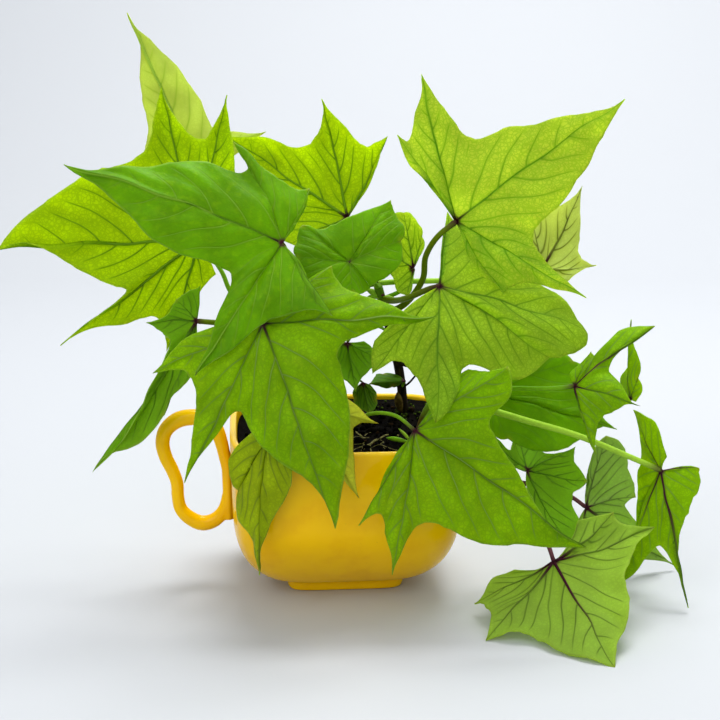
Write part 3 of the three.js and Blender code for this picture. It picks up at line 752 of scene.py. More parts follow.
# %% Buds and sprouts
# Each one: (finish, greatest radius, line)
YOUNG_GROWTH = {
    "crown_buds": [
        ("dark", 1.0, [(13.4, 11, 143), (14.9, 10.8, 139), (16.4, 10, 134.6), (16.6, 9, 131.5)]),
        ("pale", 1.5, [(17.4, 8.6, 131.4), (14, 7.8, 133.6), (10.4, 7.6, 135.4)]),
        ("pale", 1.2, [(16.4, 8.6, 131.6), (20.4, 7.8, 131.2), (25, 7.6, 130.4)]),
        ("purple", 0.9, [(16.2, 7.2, 133.6), (17.6, 7, 133), (19.2, 7.2, 132.4)]),
        ("pale", 1.0, [(10.8, 7.8, 131.4), (13.4, 7.4, 131.8), (17, 7.8, 130.8)]),
    ],
    "soil_sprouts": [
        ("pale", 0.75, [(30.8, -20, 70.6), (27.9, -20, 74.2), (24.9, -20, 77.1)]),
        ("green", 1.15, [(19.6, -15.4, 71.4), (24, -18.6, 71.6), (30.5, -22.6, 71.2)]),
    ],
}

for name, shoots in YOUNG_GROWTH.items():
    growth = Piece(name)
    for skin, radius, line in shoots:
        points, faces, along = spindle(line, radius)
        growth.add(points, faces, STALK_FINISHES[skin], redness=0.5 * along**3)
    growth.make("vine")

# %% [markdown]
# ## How a leaf is drawn
# A leaf has a heart, where the stalk meets the blade, and a main vein from there to the tip of each lobe.
# Side veins leave each main vein in turns, left and right, and curve towards its tip. The blade could be
# cut out of a flat grid, but then its rows would run across the veins. Here rays run from the heart to
# the outline, so the main veins lie on rays, and each half lobe knows how far a point is from its vein.

# %% The edge of a lobe
DRAWN_OUT = 0.5
DRAWN_REACH = 0.13


def lobe_edge(heart, tip, corner, draw_in, swell, steps):
    """Points along one edge of a lobe, from its tip to the cut or rear corner beside it. draw_in is how
    far it draws in near the tip and swell how far it swells near the corner, as shares of its length. The
    last bit of a pointed lobe is drawn out."""
    chord = corner - tip
    length = np.linalg.norm(chord)
    out = corner - heart
    out = out - chord * np.dot(out, chord) / length**2
    out *= length / np.linalg.norm(out)
    first = tip + chord / 3 - draw_in * out
    second = tip + chord * 2 / 3 + swell * out
    t = np.linspace(0, 1, steps + 1)[:, None]
    edge = tip * (1 - t)**3 + 3 * first * t * (1 - t)**2 + 3 * second * t**2 * (1 - t) + corner * t**3
    axis = (heart - tip) / np.linalg.norm(heart - tip)
    back = (edge - tip) @ axis
    aside = edge - tip - back[:, None] * axis
    pinch = DRAWN_OUT * min(1.0, max(0.0, 1 + 5 * draw_in))
    pinch = pinch * np.exp(-np.maximum(back, 0) / (DRAWN_REACH * np.linalg.norm(heart - tip)))
    return edge - pinch[:, None] * aside


print("a pointed lobe is drawn out over", DRAWN_REACH, "of its length")

# %% The outline of a leaf
EDGE_SPACING = 2.8
LEAST_EDGE_STEPS = 12
CUT_ROUNDING = 14
MARGIN_TREMOR = 0.25
TREMOR_LENGTH = 9.0


def leaf_outline(leaf):
    """Rays from the heart to the outline, by half lobes: a list of (lobe, side, first ray, last ray)."""
    heart = np.array(leaf["heart"], float)
    tips = [np.array(tip, float) for tip in leaf["lobes"]]
    last = len(tips) - 1

    def between(a, b, shares):
        """The point that is reached by going shares of the ways from the heart to two tips."""
        return heart + shares[0] * (tips[a] - heart) + shares[1] * (tips[b] - heart)

    corners = [between(0, 1, leaf["rear"][0])]
    corners += [between(k, k + 1, cut) for k, cut in enumerate(leaf["cuts"])]
    corners += [between(last, last - 1, leaf["rear"][1])]
    rays, off, halves = [], [], []
    for k, tip in enumerate(tips):
        edge = leaf["edges"][k]
        for side, corner, shape in ((-1, corners[k], edge[:2]), (1, corners[k + 1], edge[2:])):
            steps = max(LEAST_EDGE_STEPS, round(np.linalg.norm(corner - tip) / EDGE_SPACING))
            points = lobe_edge(heart, tip, corner, *shape, steps) - heart
            share = np.sin(0.5 * math.pi * np.linspace(0, 1, steps + 1)) ** 2
            if side < 0:
                points, share = points[::-1], share[::-1]
            first = len(rays) - 1 if rays else 0
            rays.extend(points[1 if rays else 0:])
            off.extend(share[1 if off else 0:])
            halves.append((k, side, first, len(rays) - 1))
    rays, off = np.array(rays), np.array(off)
    ease = 0.5 * np.clip((off[1:-1, None] - 0.5) / 0.5, 0, 1)
    for _ in range(CUT_ROUNDING):
        rays[1:-1] += ease * (0.5 * (rays[:-2] + rays[2:]) - rays[1:-1])
    way = way_along(rays)[:, None]
    reach = np.linalg.norm(rays, axis=1)[:, None]
    tremor = np.sin(2 * math.pi * way / TREMOR_LENGTH) + 0.5 * np.sin(3.7 * math.pi * way / TREMOR_LENGTH)
    rays *= 1 + MARGIN_TREMOR * tremor * np.clip(off, 0.1, 1)[:, None] / reach
    return heart, tips, rays, off, halves


print("points on the outline are", EDGE_SPACING, "mm apart")

# %% [markdown]
# ## The side veins of half a lobe
# Each half lobe is drawn with u across from its main vein and v along it, as shares of the vein's length.
# A side vein leaves the main vein at a slant and then bends towards the tip. One formula gives the order
# of the vein through any point, a whole number on a vein, and its inverse gives the vein's own line, so
# the puffed surface, the ribs and the drawn veins all agree.

# %% Half a lobe
# A half lobe has 3 side veins, and one more for each of these lengths that it passes
MORE_SIDE_VEINS = (30, 55, 75)
VEIN_CURVE = 0.8
LEAST_LEAN = 0.8
MOST_LEAN = 1.6
LEAN_LOSS = 0.7
CURVE_GAIN = 3.0
SMALL_STEP = 1e-3


class HalfLobe:
    """One side of a lobe, from its main vein to its edge."""

    def __init__(self, rays, vein, side, first, last):
        self.side, self.first, self.last = side, first, last
        self.length = np.linalg.norm(vein)
        mine = rays[first:last + 1]
        self.along = mine @ vein / self.length**2
        self.across = np.linalg.norm(mine - self.along[:, None] * vein, axis=1) / self.length
        corner = 0 if side < 0 else -1
        slant = self.along[corner] / max(self.across[corner], 0.01)
        self.lean = float(np.clip(slant, LEAST_LEAN, MOST_LEAN))
        self.curve = VEIN_CURVE / max(self.across.max(), 0.05)
        self.count = 3 + sum(self.length > limit for limit in MORE_SIDE_VEINS)
        self.shift = 0.5 if side < 0 else 0.0

    def squeeze(self, u):
        """How far apart the side veins are at u across, as a share of that at the main vein."""
        return 1 - LEAN_LOSS * self.lean * u + CURVE_GAIN * self.curve * u**2

    def order(self, u, v):
        """The number of the side vein through a point: whole on a vein, and a half between two."""
        start = (v - self.lean * u - self.curve * u**2) / self.squeeze(u)
        return start * self.count - self.shift

    def way(self, order, u):
        """How far along a side vein has come where it is u across."""
        start = (order + self.shift) / self.count
        return start * self.squeeze(u) + self.lean * u + self.curve * u**2

    def spacing(self, u, v):
        """Millimetres from one side vein to the next."""
        here = self.order(u, v)
        slope_u = (self.order(u + SMALL_STEP, v) - here) / SMALL_STEP
        slope_v = (self.order(u, v + SMALL_STEP) - here) / SMALL_STEP
        return self.length / np.hypot(slope_u, slope_v)


print("side veins to each half of a lobe: 3 to", 3 + len(MORE_SIDE_VEINS))

# %% [markdown]
# ## The blade
# The blade rises in a shallow arch along each ray and is pleated between the main veins. On top of that
# the fine mesh sinks along each vein, puffs up between the side veins, and waves at the margin. Each
# corner of each face carries its place among the veins, in millimetres, for the finish to draw them.


# %% Which way a blade faces
def upper_side(leaf, heart, tips):
    """Which way the blade's upper face looks."""
    along = max((tip - heart for tip in tips), key=np.linalg.norm)
    up = np.cross(tips[-1] - tips[0], along) * leaf["upper"]
    return up / np.linalg.norm(up)


def grid_normals(grid):
    """Normals of a grid of points, by row and ray."""
    along = np.gradient(grid, axis=0)
    sideways = np.gradient(grid, axis=1)
    normals = np.cross(along, sideways)
    normals[0] = normals[1].mean(axis=0)
    return normals / (np.linalg.norm(normals, axis=2)[:, :, None] + 1e-12)


flat_grid = np.array([[(ray, ring, 0) for ray in range(3)] for ring in range(3)], float)
print("a flat grid's middle normal:", grid_normals(flat_grid)[1, 1])

# %% The blade's middle surface
ARCH = 0.05
PLEAT = 0.05
RINGS = 24
VEIN_SINK = 0.35
VEIN_SINK_WIDTH = 1.3
PUFF = 0.6
MARGIN_WAVE = 0.9
WAVE_LENGTH = 19.0
WANDER = 0.7
WANDERS_A_MM = 0.21
RIPPLE = 0.22
RIPPLE_LENGTH = 5.5
# A leaf or lobe under these lengths is waved, puffed and rippled less, in proportion
GROWN_REACH = 60
GROWN_LOBE = 70


def rippled(rays, seed):
    """How much each ray is stretched to make the margin a little uneven."""
    way = 2 * math.pi * way_along(rays) / RIPPLE_LENGTH
    ripple = 0.6 * np.sin(way + 3 * seed) + 0.4 * np.sin(way / 0.43 + 5 * seed)
    reach = np.linalg.norm(rays, axis=1)
    return 1 + RIPPLE * ripple * min(1, reach.max() / GROWN_REACH) / reach


def blade_grids(leaf, seed):
    """The blade's middle surface as a grid of rings and rays, and what each half lobe says of the veins."""
    heart, tips, rays, off, sides = leaf_outline(leaf)
    up = upper_side(leaf, heart, tips)
    rays = rays * rippled(rays, seed)[:, None]
    share = (np.linspace(0, 1, RINGS + 1) ** 0.85)[:, None]
    reach = np.linalg.norm(rays, axis=1)[None, :]
    pleat = PLEAT * leaf.get("pleat", 1.0) * off[None, :] * np.sin(math.pi * share)
    lift = (ARCH * 4 * share * (1 - share) + pleat) * reach
    halves, plans = [], []
    relief = np.zeros((RINGS + 1, len(rays)))
    for lobe, side, first, last in sides:
        half = HalfLobe(rays, tips[lobe] - heart, side, first, last)
        v, u = share * half.along, share * half.across
        order = half.order(u, v)
        halves.append(half)
        plans.append((u * half.length, order, v, half.spacing(u, v)))
        window = np.sin(math.pi * np.clip(half.across / max(half.across.max(), 1e-6), 0, 1))[None, :]
        window = window * np.sin(math.pi * np.clip(share, 0, 1)) ** 0.5
        size = min(1.0, half.length / GROWN_LOBE)
        puff = PUFF * size * (0.5 - 0.5 * np.cos(2 * math.pi * order)) * window * (order > 0)
        groove = -VEIN_SINK * size * np.exp(-(u * half.length / VEIN_SINK_WIDTH) ** 2)
        groove = groove * (1 - np.clip(v, 0, 1)) * np.sin(math.pi * np.clip(share * 1.2, 0, 0.5))
        block = relief[:, first:last + 1]
        block += np.where(np.abs(block) < np.abs(puff + groove), puff + groove - block, 0)
    sway = min(1.0, reach.max() / GROWN_REACH)
    wave = MARGIN_WAVE * sway * share**3 * np.sin(2 * math.pi * way_along(rays) / WAVE_LENGTH + seed)
    grid = heart + share[:, :, None] * rays[None, :, :] + (lift + relief + wave)[:, :, None] * up
    turned = WANDERS_A_MM * grid + np.array([seed, 2 * seed, 3 * seed])
    wander = np.sin(turned[:, :, [1, 2, 0]] + 0.4 * np.sin(2.1 * turned[:, :, [2, 0, 1]]))
    grid += WANDER * sway * np.minimum(1, 2 * share)[:, :, None] * wander
    grid[0] = heart
    return grid, up, halves, plans, share[:, 0]


print("a blade has", RINGS, "rings")


# %% A blade as a thin solid
BLADE_THICKNESS = 0.5


def blade_solid(grid, up):
    """Both faces and the rim of a blade. Says also which face of the grid is the upper one."""
    rings, count = grid.shape[0] - 1, grid.shape[1]
    normals = grid_normals(grid)
    half = 0.5 * BLADE_THICKNESS
    front, back = grid + half * normals, grid - half * normals
    upper_is_front = float(np.mean(normals[1:] @ up)) > 0

    def index(ring, ray):
        """The number of the point at a ring and a ray. The heart is number 0."""
        return np.where(ring == 0, 0, 1 + (ring - 1) * count + ray)

    ring, ray = np.meshgrid(np.arange(1, rings), np.arange(count - 1), indexing="ij")
    ring, ray = ring.ravel(), ray.ravel()
    corners = [index(ring, ray), index(ring + 1, ray), index(ring + 1, ray + 1), index(ring, ray + 1)]
    quads = np.stack(corners, 1)
    first = np.arange(count - 1)
    fans = np.stack([np.zeros_like(first), 1 + first, 2 + first], 1)
    size = 1 + rings * count
    rim = [0] + [1 + (k - 1) * count for k in range(1, rings + 1)]
    rim += [1 + (rings - 1) * count + k for k in range(1, count)]
    rim += [1 + (k - 1) * count + count - 1 for k in range(rings - 1, 0, -1)]
    faces = [tuple(face) for face in fans.tolist()] + [tuple(face) for face in quads.tolist()]
    faces += [tuple(reversed([size + c for c in face])) for face in faces]
    faces += [(b, a, size + a, size + b) for a, b in zip(rim, rim[1:] + rim[:1])]
    points = np.vstack([front[0, :1], front[1:].reshape(-1, 3), back[0, :1], back[1:].reshape(-1, 3)])
    return points, faces, len(rim), upper_is_front, back if upper_is_front else front


print("a blade is", BLADE_THICKNESS, "mm thick")

# %% What a blade carries for its finish
PURPLE_FADE = 0.6
# What the rim carries: a place and sizes that are far from every vein
RIM_PLACE = (9.0, 0.5, 1.0)
RIM_SIZES = (50.0, 8.0, 1.0)


def vein_values(faces, rim_count, count, halves, plans, share):
    """For each corner of each face: its place among the veins, and the veins' sizes there."""
    size = 1 + (len(share) - 1) * count
    half_of_ray = np.zeros(count - 1, int)
    for number, half in enumerate(halves):
        half_of_ray[half.first:half.last] = number
    places, sizes = [], []
    for number, face in enumerate(faces):
        if number >= len(faces) - rim_count:
            places.extend([RIM_PLACE] * len(face))
            sizes.extend([RIM_SIZES] * len(face))
            continue
        ids = [corner % size for corner in face]
        rays = [(i - 1) % count for i in ids if i > 0]
        half = half_of_ray[min(rays)]
        across, order, along, spacing = plans[half]
        for i in ids:
            ring, ray = (0, min(rays)) if i == 0 else ((i - 1) // count + 1, (i - 1) % count)
            column = ray - halves[half].first
            places.append((across[ring, column], order[ring, column], along[ring, column]))
            sizes.append((halves[half].length, spacing[ring, column], share[ring]))
    return places, sizes


def purple_at(away, reach):
    """How purple a vein is at a distance from the heart: full near it, and gone at the vein's reach."""
    return np.clip((reach - away) / (PURPLE_FADE * reach), 0, 1)


def purple_values(grid, halves):
    """How purple a main vein would be at each point of both sides of the blade."""
    reach = np.zeros(grid.shape[1])
    for half in halves:
        reach[half.first:half.last + 1] = half.purple_reach
    purple = purple_at(np.linalg.norm(grid - grid[0, 0], axis=2), reach)
    one_side = np.concatenate([purple[0, :1], purple[1:].ravel()])
    return np.concatenate([one_side, one_side])


print("purple fades over", PURPLE_FADE, "of its reach")

# %% [markdown]
# ## Veins in relief
# On the underside the veins stand proud as fine ribs. They could be left to the finish, but then the
# blade would look like card in profile. Each rib is a thin tube that follows the blade's lower face,
# half sunk in it, thick at the heart and hair-thin near the margin.

# %% The ribs of a leaf
VEIN_SIDES = 5
RIB_RADIUS = 0.8
RIB_END_RADIUS = 0.1
RIB_WAYS = np.linspace(0.02, 0.97, 16)
SIDE_RIB_RADIUS = 0.27
SIDE_RIB_END_RADIUS = 0.06
SIDE_RIB_WAYS = np.linspace(0.004, 0.7, 60)
SIDE_RIB_END = 0.93
LEAST_RIB_POINTS = 6
SIDE_RIB_RED = 0.05


def on_grid(grid, share, ray, t):
    """The point of a grid at a share of the way out and at a ray, both between its lines."""
    row = np.interp(t, share, np.arange(len(share)))
    low, ray_low = int(min(row, len(share) - 2)), int(min(ray, grid.shape[1] - 2))
    a, b = row - low, ray - ray_low
    near = grid[low, ray_low] * (1 - b) + grid[low, ray_low + 1] * b
    far = grid[low + 1, ray_low] * (1 - b) + grid[low + 1, ray_low + 1] * b
    return near * (1 - a) + far * a


def rib_lines(under, share, halves):
    """Lines of the main and side veins on the blade's lower face: (half lobe, is main, line, radii)."""
    ribs = []
    for half in halves:
        size = min(1.0, 0.35 + half.length / 110)
        if half.side < 0:
            line = [on_grid(under, share, half.last, t) for t in RIB_WAYS]
            ribs.append((half, True, line, np.linspace(RIB_RADIUS, RIB_END_RADIUS, len(line)) * size))
        angles, reach = np.arctan2(half.across, half.along), np.hypot(half.across, half.along)
        numbers = np.arange(half.first, half.last + 1)
        if half.side < 0:
            angles, reach, numbers = angles[::-1], reach[::-1], numbers[::-1]
        for order in range(half.count + 1):
            line = []
            for u in SIDE_RIB_WAYS:
                v = half.way(order, u)
                angle = math.atan2(u, v)
                t = math.hypot(u, v) / np.interp(angle, angles, reach)
                if t > SIDE_RIB_END or angle > 0.96 * angles[-1]:
                    break
                line.append(on_grid(under, share, np.interp(angle, angles, numbers), t))
            if len(line) >= LEAST_RIB_POINTS:
                line = line[::2]
                radii = np.linspace(SIDE_RIB_RADIUS, SIDE_RIB_END_RADIUS, len(line)) * size
                ribs.append((half, False, line, radii))
    return ribs


print("a main rib is", 2 * RIB_RADIUS, "mm thick at the heart of the largest leaves")

# %% [markdown]
# ## The leaf's finish
# A sweet potato leaf is satin on top and paler and duller below. Light that comes through it is a bright
# yellow-green, and the veins, which are thicker, stop some of it. So the finish mixes a surface shader
# with one that passes light, each with its own colours, and draws the veins from the values on the mesh:
# main veins, side veins, and a fine net that closes the gaps between them.

# %% The leaf's looks
# Colours, as on a chart: upper and under for the two sides, glow for the light that comes through, veins,
# under_veins and dim for what the veins make of these three, and rib, margin and tip for those places.
# Numbers: how strongly the fine net and the shade along the veins show, how rough the upper side is, how
# much light comes through, and how many millimetres the longest and the other main veins stay purple
# Besides the leaves' own colours, most looks are lighter or darker copies of one green, which paint in the
# light that reaches each leaf and the shade it stands in.
LEAFY = {
    "upper": (134, 190, 8), "under": (150, 194, 34), "glow": (224, 250, 30),
    "veins": (164, 196, 90), "under_veins": (88, 116, 40), "dim": (146, 190, 18),
    "rib": (120, 152, 50), "margin": (178, 200, 96), "tip": (176, 160, 50), "net": 0.65,
    "lines": 0.9, "roughness": 0.5, "through": 0.6, "purple": (9, 5),
}
LOOKS = {
    "leafy": LEAFY,
    "veined": {**LEAFY, "purple": (40, 26)},
    "aged": {
        **LEAFY, "upper": (172, 200, 16), "glow": (220, 232, 30), "veins": (130, 150, 40),
        "dim": (150, 170, 20), "through": 0.4, "purple": (3, 3),
    },
    # The yellowing leaf's own colour, made paler still as painted light where it stands in shade.
    "yellowed": {
        **LEAFY, "upper": (226, 236, 60), "under": (210, 214, 60), "glow": (240, 240, 70),
        "veins": (190, 196, 50), "dim": (200, 200, 50), "margin": (176, 110, 50),
        "tip": (150, 80, 30), "through": 0.4, "purple": (3, 3),
    },
    # Painted light: a lighter copy that lets more light through, for leaves that glow against the light.
    "sunlit": {
        **LEAFY, "upper": (156, 200, 14), "under": (158, 200, 20), "glow": (236, 254, 40),
        "veins": (120, 164, 40), "under_veins": (96, 142, 20), "dim": (160, 196, 20),
        "rib": (150, 196, 44), "net": 0.75, "through": 0.78, "purple": (6, 4),
    },
    # Painted light: lighter still, which brightens a leaf as if more light reached it.
    "airy": {
        **LEAFY, "upper": (182, 222, 78), "under": (182, 222, 78), "glow": (238, 255, 96),
        "veins": (128, 172, 60), "under_veins": (104, 150, 44), "dim": (168, 204, 44),
        "rib": (148, 192, 56), "net": 0.85, "through": 0.84, "purple": (6, 4),
    },
    # A pale yellow-green, made paler still as painted light.
    "tender": {
        **LEAFY, "upper": (186, 220, 110), "under": (186, 220, 110), "glow": (246, 254, 148),
        "veins": (150, 186, 80), "under_veins": (150, 184, 76), "dim": (220, 236, 110),
        "rib": (176, 208, 96), "net": 0.45, "through": 0.8, "purple": (4, 3),
    },
    # Partly the deeper green of these leaves, partly painted shade: a darker copy that passes less light,
    # for leaves in the shadow of others.
    "deep": {
        **LEAFY, "upper": (112, 174, 4), "under": (120, 174, 26), "glow": (200, 238, 12),
        "veins": (148, 194, 54), "under_veins": (100, 140, 34), "dim": (160, 204, 10),
        "rib": (112, 152, 44), "net": 0.45, "lines": 0.4, "roughness": 0.44, "through": 0.46,
        "purple": (5, 3),
    },
    # Painted shade: a darker copy still, for small leaves in the plant's shadow.
    "shaded": {
        **LEAFY, "upper": (80, 130, 4), "under": (92, 134, 20), "glow": (170, 208, 10),
        "veins": (100, 140, 34), "under_veins": (74, 104, 20), "dim": (120, 156, 10),
        "rib": (84, 120, 30), "net": 0.4, "through": 0.4, "purple": (4, 3),
    },
    "pale": {
        **LEAFY, "upper": (148, 190, 56), "under": (176, 214, 80), "glow": (214, 236, 84),
        "veins": (120, 150, 60), "under_veins": (124, 152, 62), "dim": (172, 200, 70),
        "rib": (122, 140, 66), "net": 0.4, "roughness": 0.6, "through": 0.62, "purple": (42, 12),
    },
    # A pale leaf seen on its underside, made paler still as painted light.
    "misty": {
        **LEAFY, "upper": (200, 220, 150), "under": (200, 220, 150), "glow": (242, 252, 150),
        "veins": (130, 140, 80), "under_veins": (124, 136, 70), "dim": (186, 196, 96),
        "rib": (140, 140, 80), "net": 0.3, "roughness": 0.6, "through": 0.78, "purple": (12, 6),
    },
    "silvery": {
        **LEAFY, "upper": (112, 158, 50), "under": (166, 204, 96), "glow": (196, 230, 70),
        "veins": (104, 140, 60), "under_veins": (134, 158, 84), "dim": (150, 184, 66),
        "rib": (146, 164, 92), "net": 0.35, "roughness": 0.6, "through": 0.5, "purple": (8, 5),
    },
}
# Painted light: the palest copy, which brightens a leaf in place of a stronger lamp.
LOOKS["lightest"] = {
    **LOOKS["airy"], "upper": (202, 238, 104), "glow": (246, 255, 124), "dim": (176, 217, 58),
    "net": 0.95, "through": 0.92,
}
for look in LOOKS.values():
    look.update({part: paint(*look[part]) for part in LEAFY if len(np.atleast_1d(look[part])) == 3})
print("looks:", ", ".join(LOOKS))


# %% The veins in the finish
def vein_masks(tree):
    """Shares that follow the veins: the main ones, each vein's core, its line and the wide band that it
    shades. Also the distance from the heart, in millimetres, the tip, and the way out to the margin."""
    across, order, along = put(tree, "SeparateXYZ", {0: stored(tree, "vein_place", "Vector")}).outputs
    length, spacing, share = put(tree, "SeparateXYZ", {0: stored(tree, "vein_size", "Vector")}).outputs
    width = calc(tree, "MULTIPLY_ADD", length, 0.006, 0.18)
    width = calc(tree, "MULTIPLY", width, fade(tree, along, 0, 1.1, 1, 0.3))
    from_main = calc(tree, "DIVIDE", across, width)
    from_side = calc(tree, "MULTIPLY", calc(tree, "PINGPONG", order, 0.5), spacing)
    from_side = calc(tree, "DIVIDE", from_side, fade(tree, share, 0.1, 1.0, 0.46, 0.26))
    grown = calc(tree, "MULTIPLY", fade(tree, order, -0.12, -0.02), fade(tree, share, 0.86, 1.0, 1, 0))
    along_mm = calc(tree, "MULTIPLY", along, length)

    def distance(lengthwise):
        """How far a point is, when it is so far lengthwise and across away."""
        squares = calc(tree, "MULTIPLY_ADD", lengthwise, lengthwise, calc(tree, "MULTIPLY", across, across))
        return calc(tree, "SQRT", squares)

    def beside(start, end, main_share, side_share):
        """A band on each vein that is gone at end, in widths of the vein."""
        by_main = fade(tree, from_main, start, end, main_share, 0)
        by_side = calc(tree, "MULTIPLY", fade(tree, from_side, start, 1.2 * end, side_share, 0), grown)
        return calc(tree, "MAXIMUM", by_main, by_side)

    return {
        "main": fade(tree, from_main, 0.45, 1.25, 1, 0),
        "core": beside(0.15, 0.8, 0.9, 0.75),
        "line": beside(0.45, 1.3, 1, 0.9),
        "band": beside(0.5, 5.0, 0.6, 0.48),
        "away": distance(along_mm),
        "tip": fade(tree, distance(calc(tree, "SUBTRACT", length, along_mm)), 0.4, 2.6, 1, 0),
        "share": share,
    }


print("veins are drawn from the values on the mesh")


# %% The net and the blemishes
NET_BEND = 2.6
NET_BEND_SIZE = 3.5
# The net's polygons and their finer cells: (size in millimetres, width of the lines, strength)
NETS = ((4.4, 0.1, 0.6), (1.7, 0.2, 0.62))
BLEMISH_SPACING = 8


def vein_net(tree, place, strength):
    """The net that closes the gaps between side veins: bent polygons, filled with fine cells."""
    noise_inputs = {"Vector": place, "Scale": 1 / (NET_BEND_SIZE * MM), "Detail": 1.0}
    sway = put(tree, "TexNoise", noise_inputs).outputs["Color"]
    bent = put(tree, "VectorMath", {0: sway, 1: (NET_BEND * MM,) * 3, 2: place}, operation="MULTIPLY_ADD")
    lines = []
    for size, line, weight in NETS:
        cells = put(tree, "TexVoronoi", {"Vector": bent.outputs[0], "Scale": 1 / (size * MM)},
                    feature="DISTANCE_TO_EDGE")
        drawn = fade(tree, cells.outputs["Distance"], 0, line, 1, 0)
        lines.append(calc(tree, "MULTIPLY", drawn, weight * strength))
    return calc(tree, "MAXIMUM", *lines)


def blemishes(tree, place):
    """A few small spots, here and there."""
    spots = put(tree, "TexVoronoi", {"Vector": place, "Scale": 1 / (BLEMISH_SPACING * MM)}, feature="F1")
    chance = put(tree, "SeparateXYZ", {0: spots.outputs["Color"]}).outputs[0]
    spot = fade(tree, spots.outputs["Distance"], 0.03, 0.07, 0.8, 0)
    return calc(tree, "MULTIPLY", spot, fade(tree, chance, 0.86, 0.88))


print("nets of", " and ".join(str(size) for size, _, _ in NETS), "mm")


# %% The finish of a blade
BLEMISH = paint(92, 58, 24)
MARGIN_STRENGTH = 0.4
TIP_STRENGTH = 0.5
UNDER_ROUGHNESS = 0.68
LEAF_SHINE = 0.1


def darker(colour, share):
    """A colour with only a share of its light."""
    return tuple(share * c for c in colour)


def close_glowing(tree, front, glow, share):
    """Closes a finish that throws light back as front says, and lets a share of it through, in glow."""
    through = put(tree, "BsdfTranslucent", {"Color": glow}).outputs[0]
    close_finish(tree, put(tree, "MixShader", {0: share, 1: front, 2: through}).outputs[0])


def leaf_finish(name, look, seed, mark):
    """The finish of one leaf's blade. seed shifts its patches, so that no two leaves match, and mark is
    how strongly the heart is stained."""
    material, tree, at = new_finish(name)
    place = put(tree, "VectorMath", {0: at, 1: (seed, 2 * seed, 3 * seed)}, operation="ADD").outputs[0]
    upper = stored(tree, "upper_face")
    masks = vein_masks(tree)
    net = vein_net(tree, place, look["net"])
    lines = calc(tree, "MAXIMUM", masks["line"], net)
    bands = calc(tree, "MAXIMUM", masks["band"], lines)
    thin_bands = calc(tree, "MAXIMUM", calc(tree, "MULTIPLY", masks["band"], 0.4), lines)
    purple_line = calc(tree, "MULTIPLY", stored(tree, "purple"), masks["main"])
    purple_share = calc(tree, "MAXIMUM", purple_line, fade(tree, masks["away"], 0.8, 2.8, mark, 0))
    tip = calc(tree, "MULTIPLY", masks["tip"], TIP_STRENGTH)

    patches = fade(tree, cloud(tree, place, 16, 3), 0.3, 0.7)
    mottle = fade(tree, cloud(tree, place, 2.4, 2), 0.45, 0.75, 0, 0.4 * look["net"])
    upper_colour = mingle(tree, patches, look["upper"], darker(look["upper"], 0.7))
    upper_colour = mingle(tree, mottle, upper_colour, look["glow"])
    shade = calc(tree, "MULTIPLY", bands, look["lines"])
    upper_colour = mingle(tree, shade, upper_colour, darker(look["upper"], 0.5))
    upper_colour = mingle(tree, masks["core"], upper_colour, look["veins"])
    under_colour = mingle(tree, patches, look["under"], darker(look["under"], 0.86))
    under_colour = mingle(tree, thin_bands, under_colour, look["under_veins"])
    colour = mingle(tree, upper, under_colour, upper_colour)
    colour = mingle(tree, tip, colour, look["tip"])
    margin = fade(tree, masks["share"], 0.975, 1.0, 0, MARGIN_STRENGTH)
    colour = mingle(tree, margin, colour, look["margin"])
    colour = mingle(tree, purple_share, colour, HEART_PURPLE)
    colour = mingle(tree, blemishes(tree, place), colour, BLEMISH)

    glow = mingle(tree, patches, look["glow"], darker(look["glow"], 0.86))
    glow = mingle(tree, calc(tree, "MULTIPLY", thin_bands, 0.9), glow, look["dim"])
    glow = mingle(tree, purple_share, glow, HEART_PURPLE)

    sunk = calc(tree, "MULTIPLY", lines, calc(tree, "MULTIPLY_ADD", upper, -2.0, 1.0))
    relief = calc(tree, "MULTIPLY_ADD", cloud(tree, place, 0.9, 2), 0.25, sunk)
    roughness = fade(tree, upper, 0, 1, UNDER_ROUGHNESS, look["roughness"])
    bump = bumped(tree, relief, strength=0.6, depth_mm=0.32)
    front = surface(tree, colour, roughness, LEAF_SHINE, Normal=bump)
    close_glowing(tree, front, glow, look["through"])
    return material


most_through = max(look["through"] for look in LOOKS.values())
print("the palest leaf lets a share of", most_through, "of the light through")


# %% The finish of a rib
RIB_THROUGH = 0.66


def rib_finish(name, look):
    """The ribs under a blade: a skin that passes some light, and purple where redness is high."""
    material, tree, place = new_finish(name)
    redness = stored(tree, "redness")
    tone = mingle(tree, cloud(tree, place, 3), look["rib"], darker(look["rib"], 0.8))
    tone = mingle(tree, redness, tone, HEART_PURPLE)
    glow = mingle(tree, redness, look["dim"], HEART_PURPLE)
    close_glowing(tree, surface(tree, tone, roughness=0.6, shine=LEAF_SHINE), glow, RIB_THROUGH)
    return material


RIB_FINISHES = {name: rib_finish("rib " + name, look) for name, look in LOOKS.items()}
print("rib finishes:", len(RIB_FINISHES))

# %% [markdown]
# ## The leaves
# Each leaf repeats its solid: the heart where the stalk meets the blade, the lobe tips in order round the
# blade from the stalk, the cuts between lobes and the rear corners as shares of the ways to the two
# lobes beside them, and each lobe's two edges. All places are in millimetres. A few leaves say more:
# purple in place of their look's, pleat for deeper pleats, rib for thinner side ribs, mark for a paler
# stain at the heart, and blush for a stalk that reddens from further down.

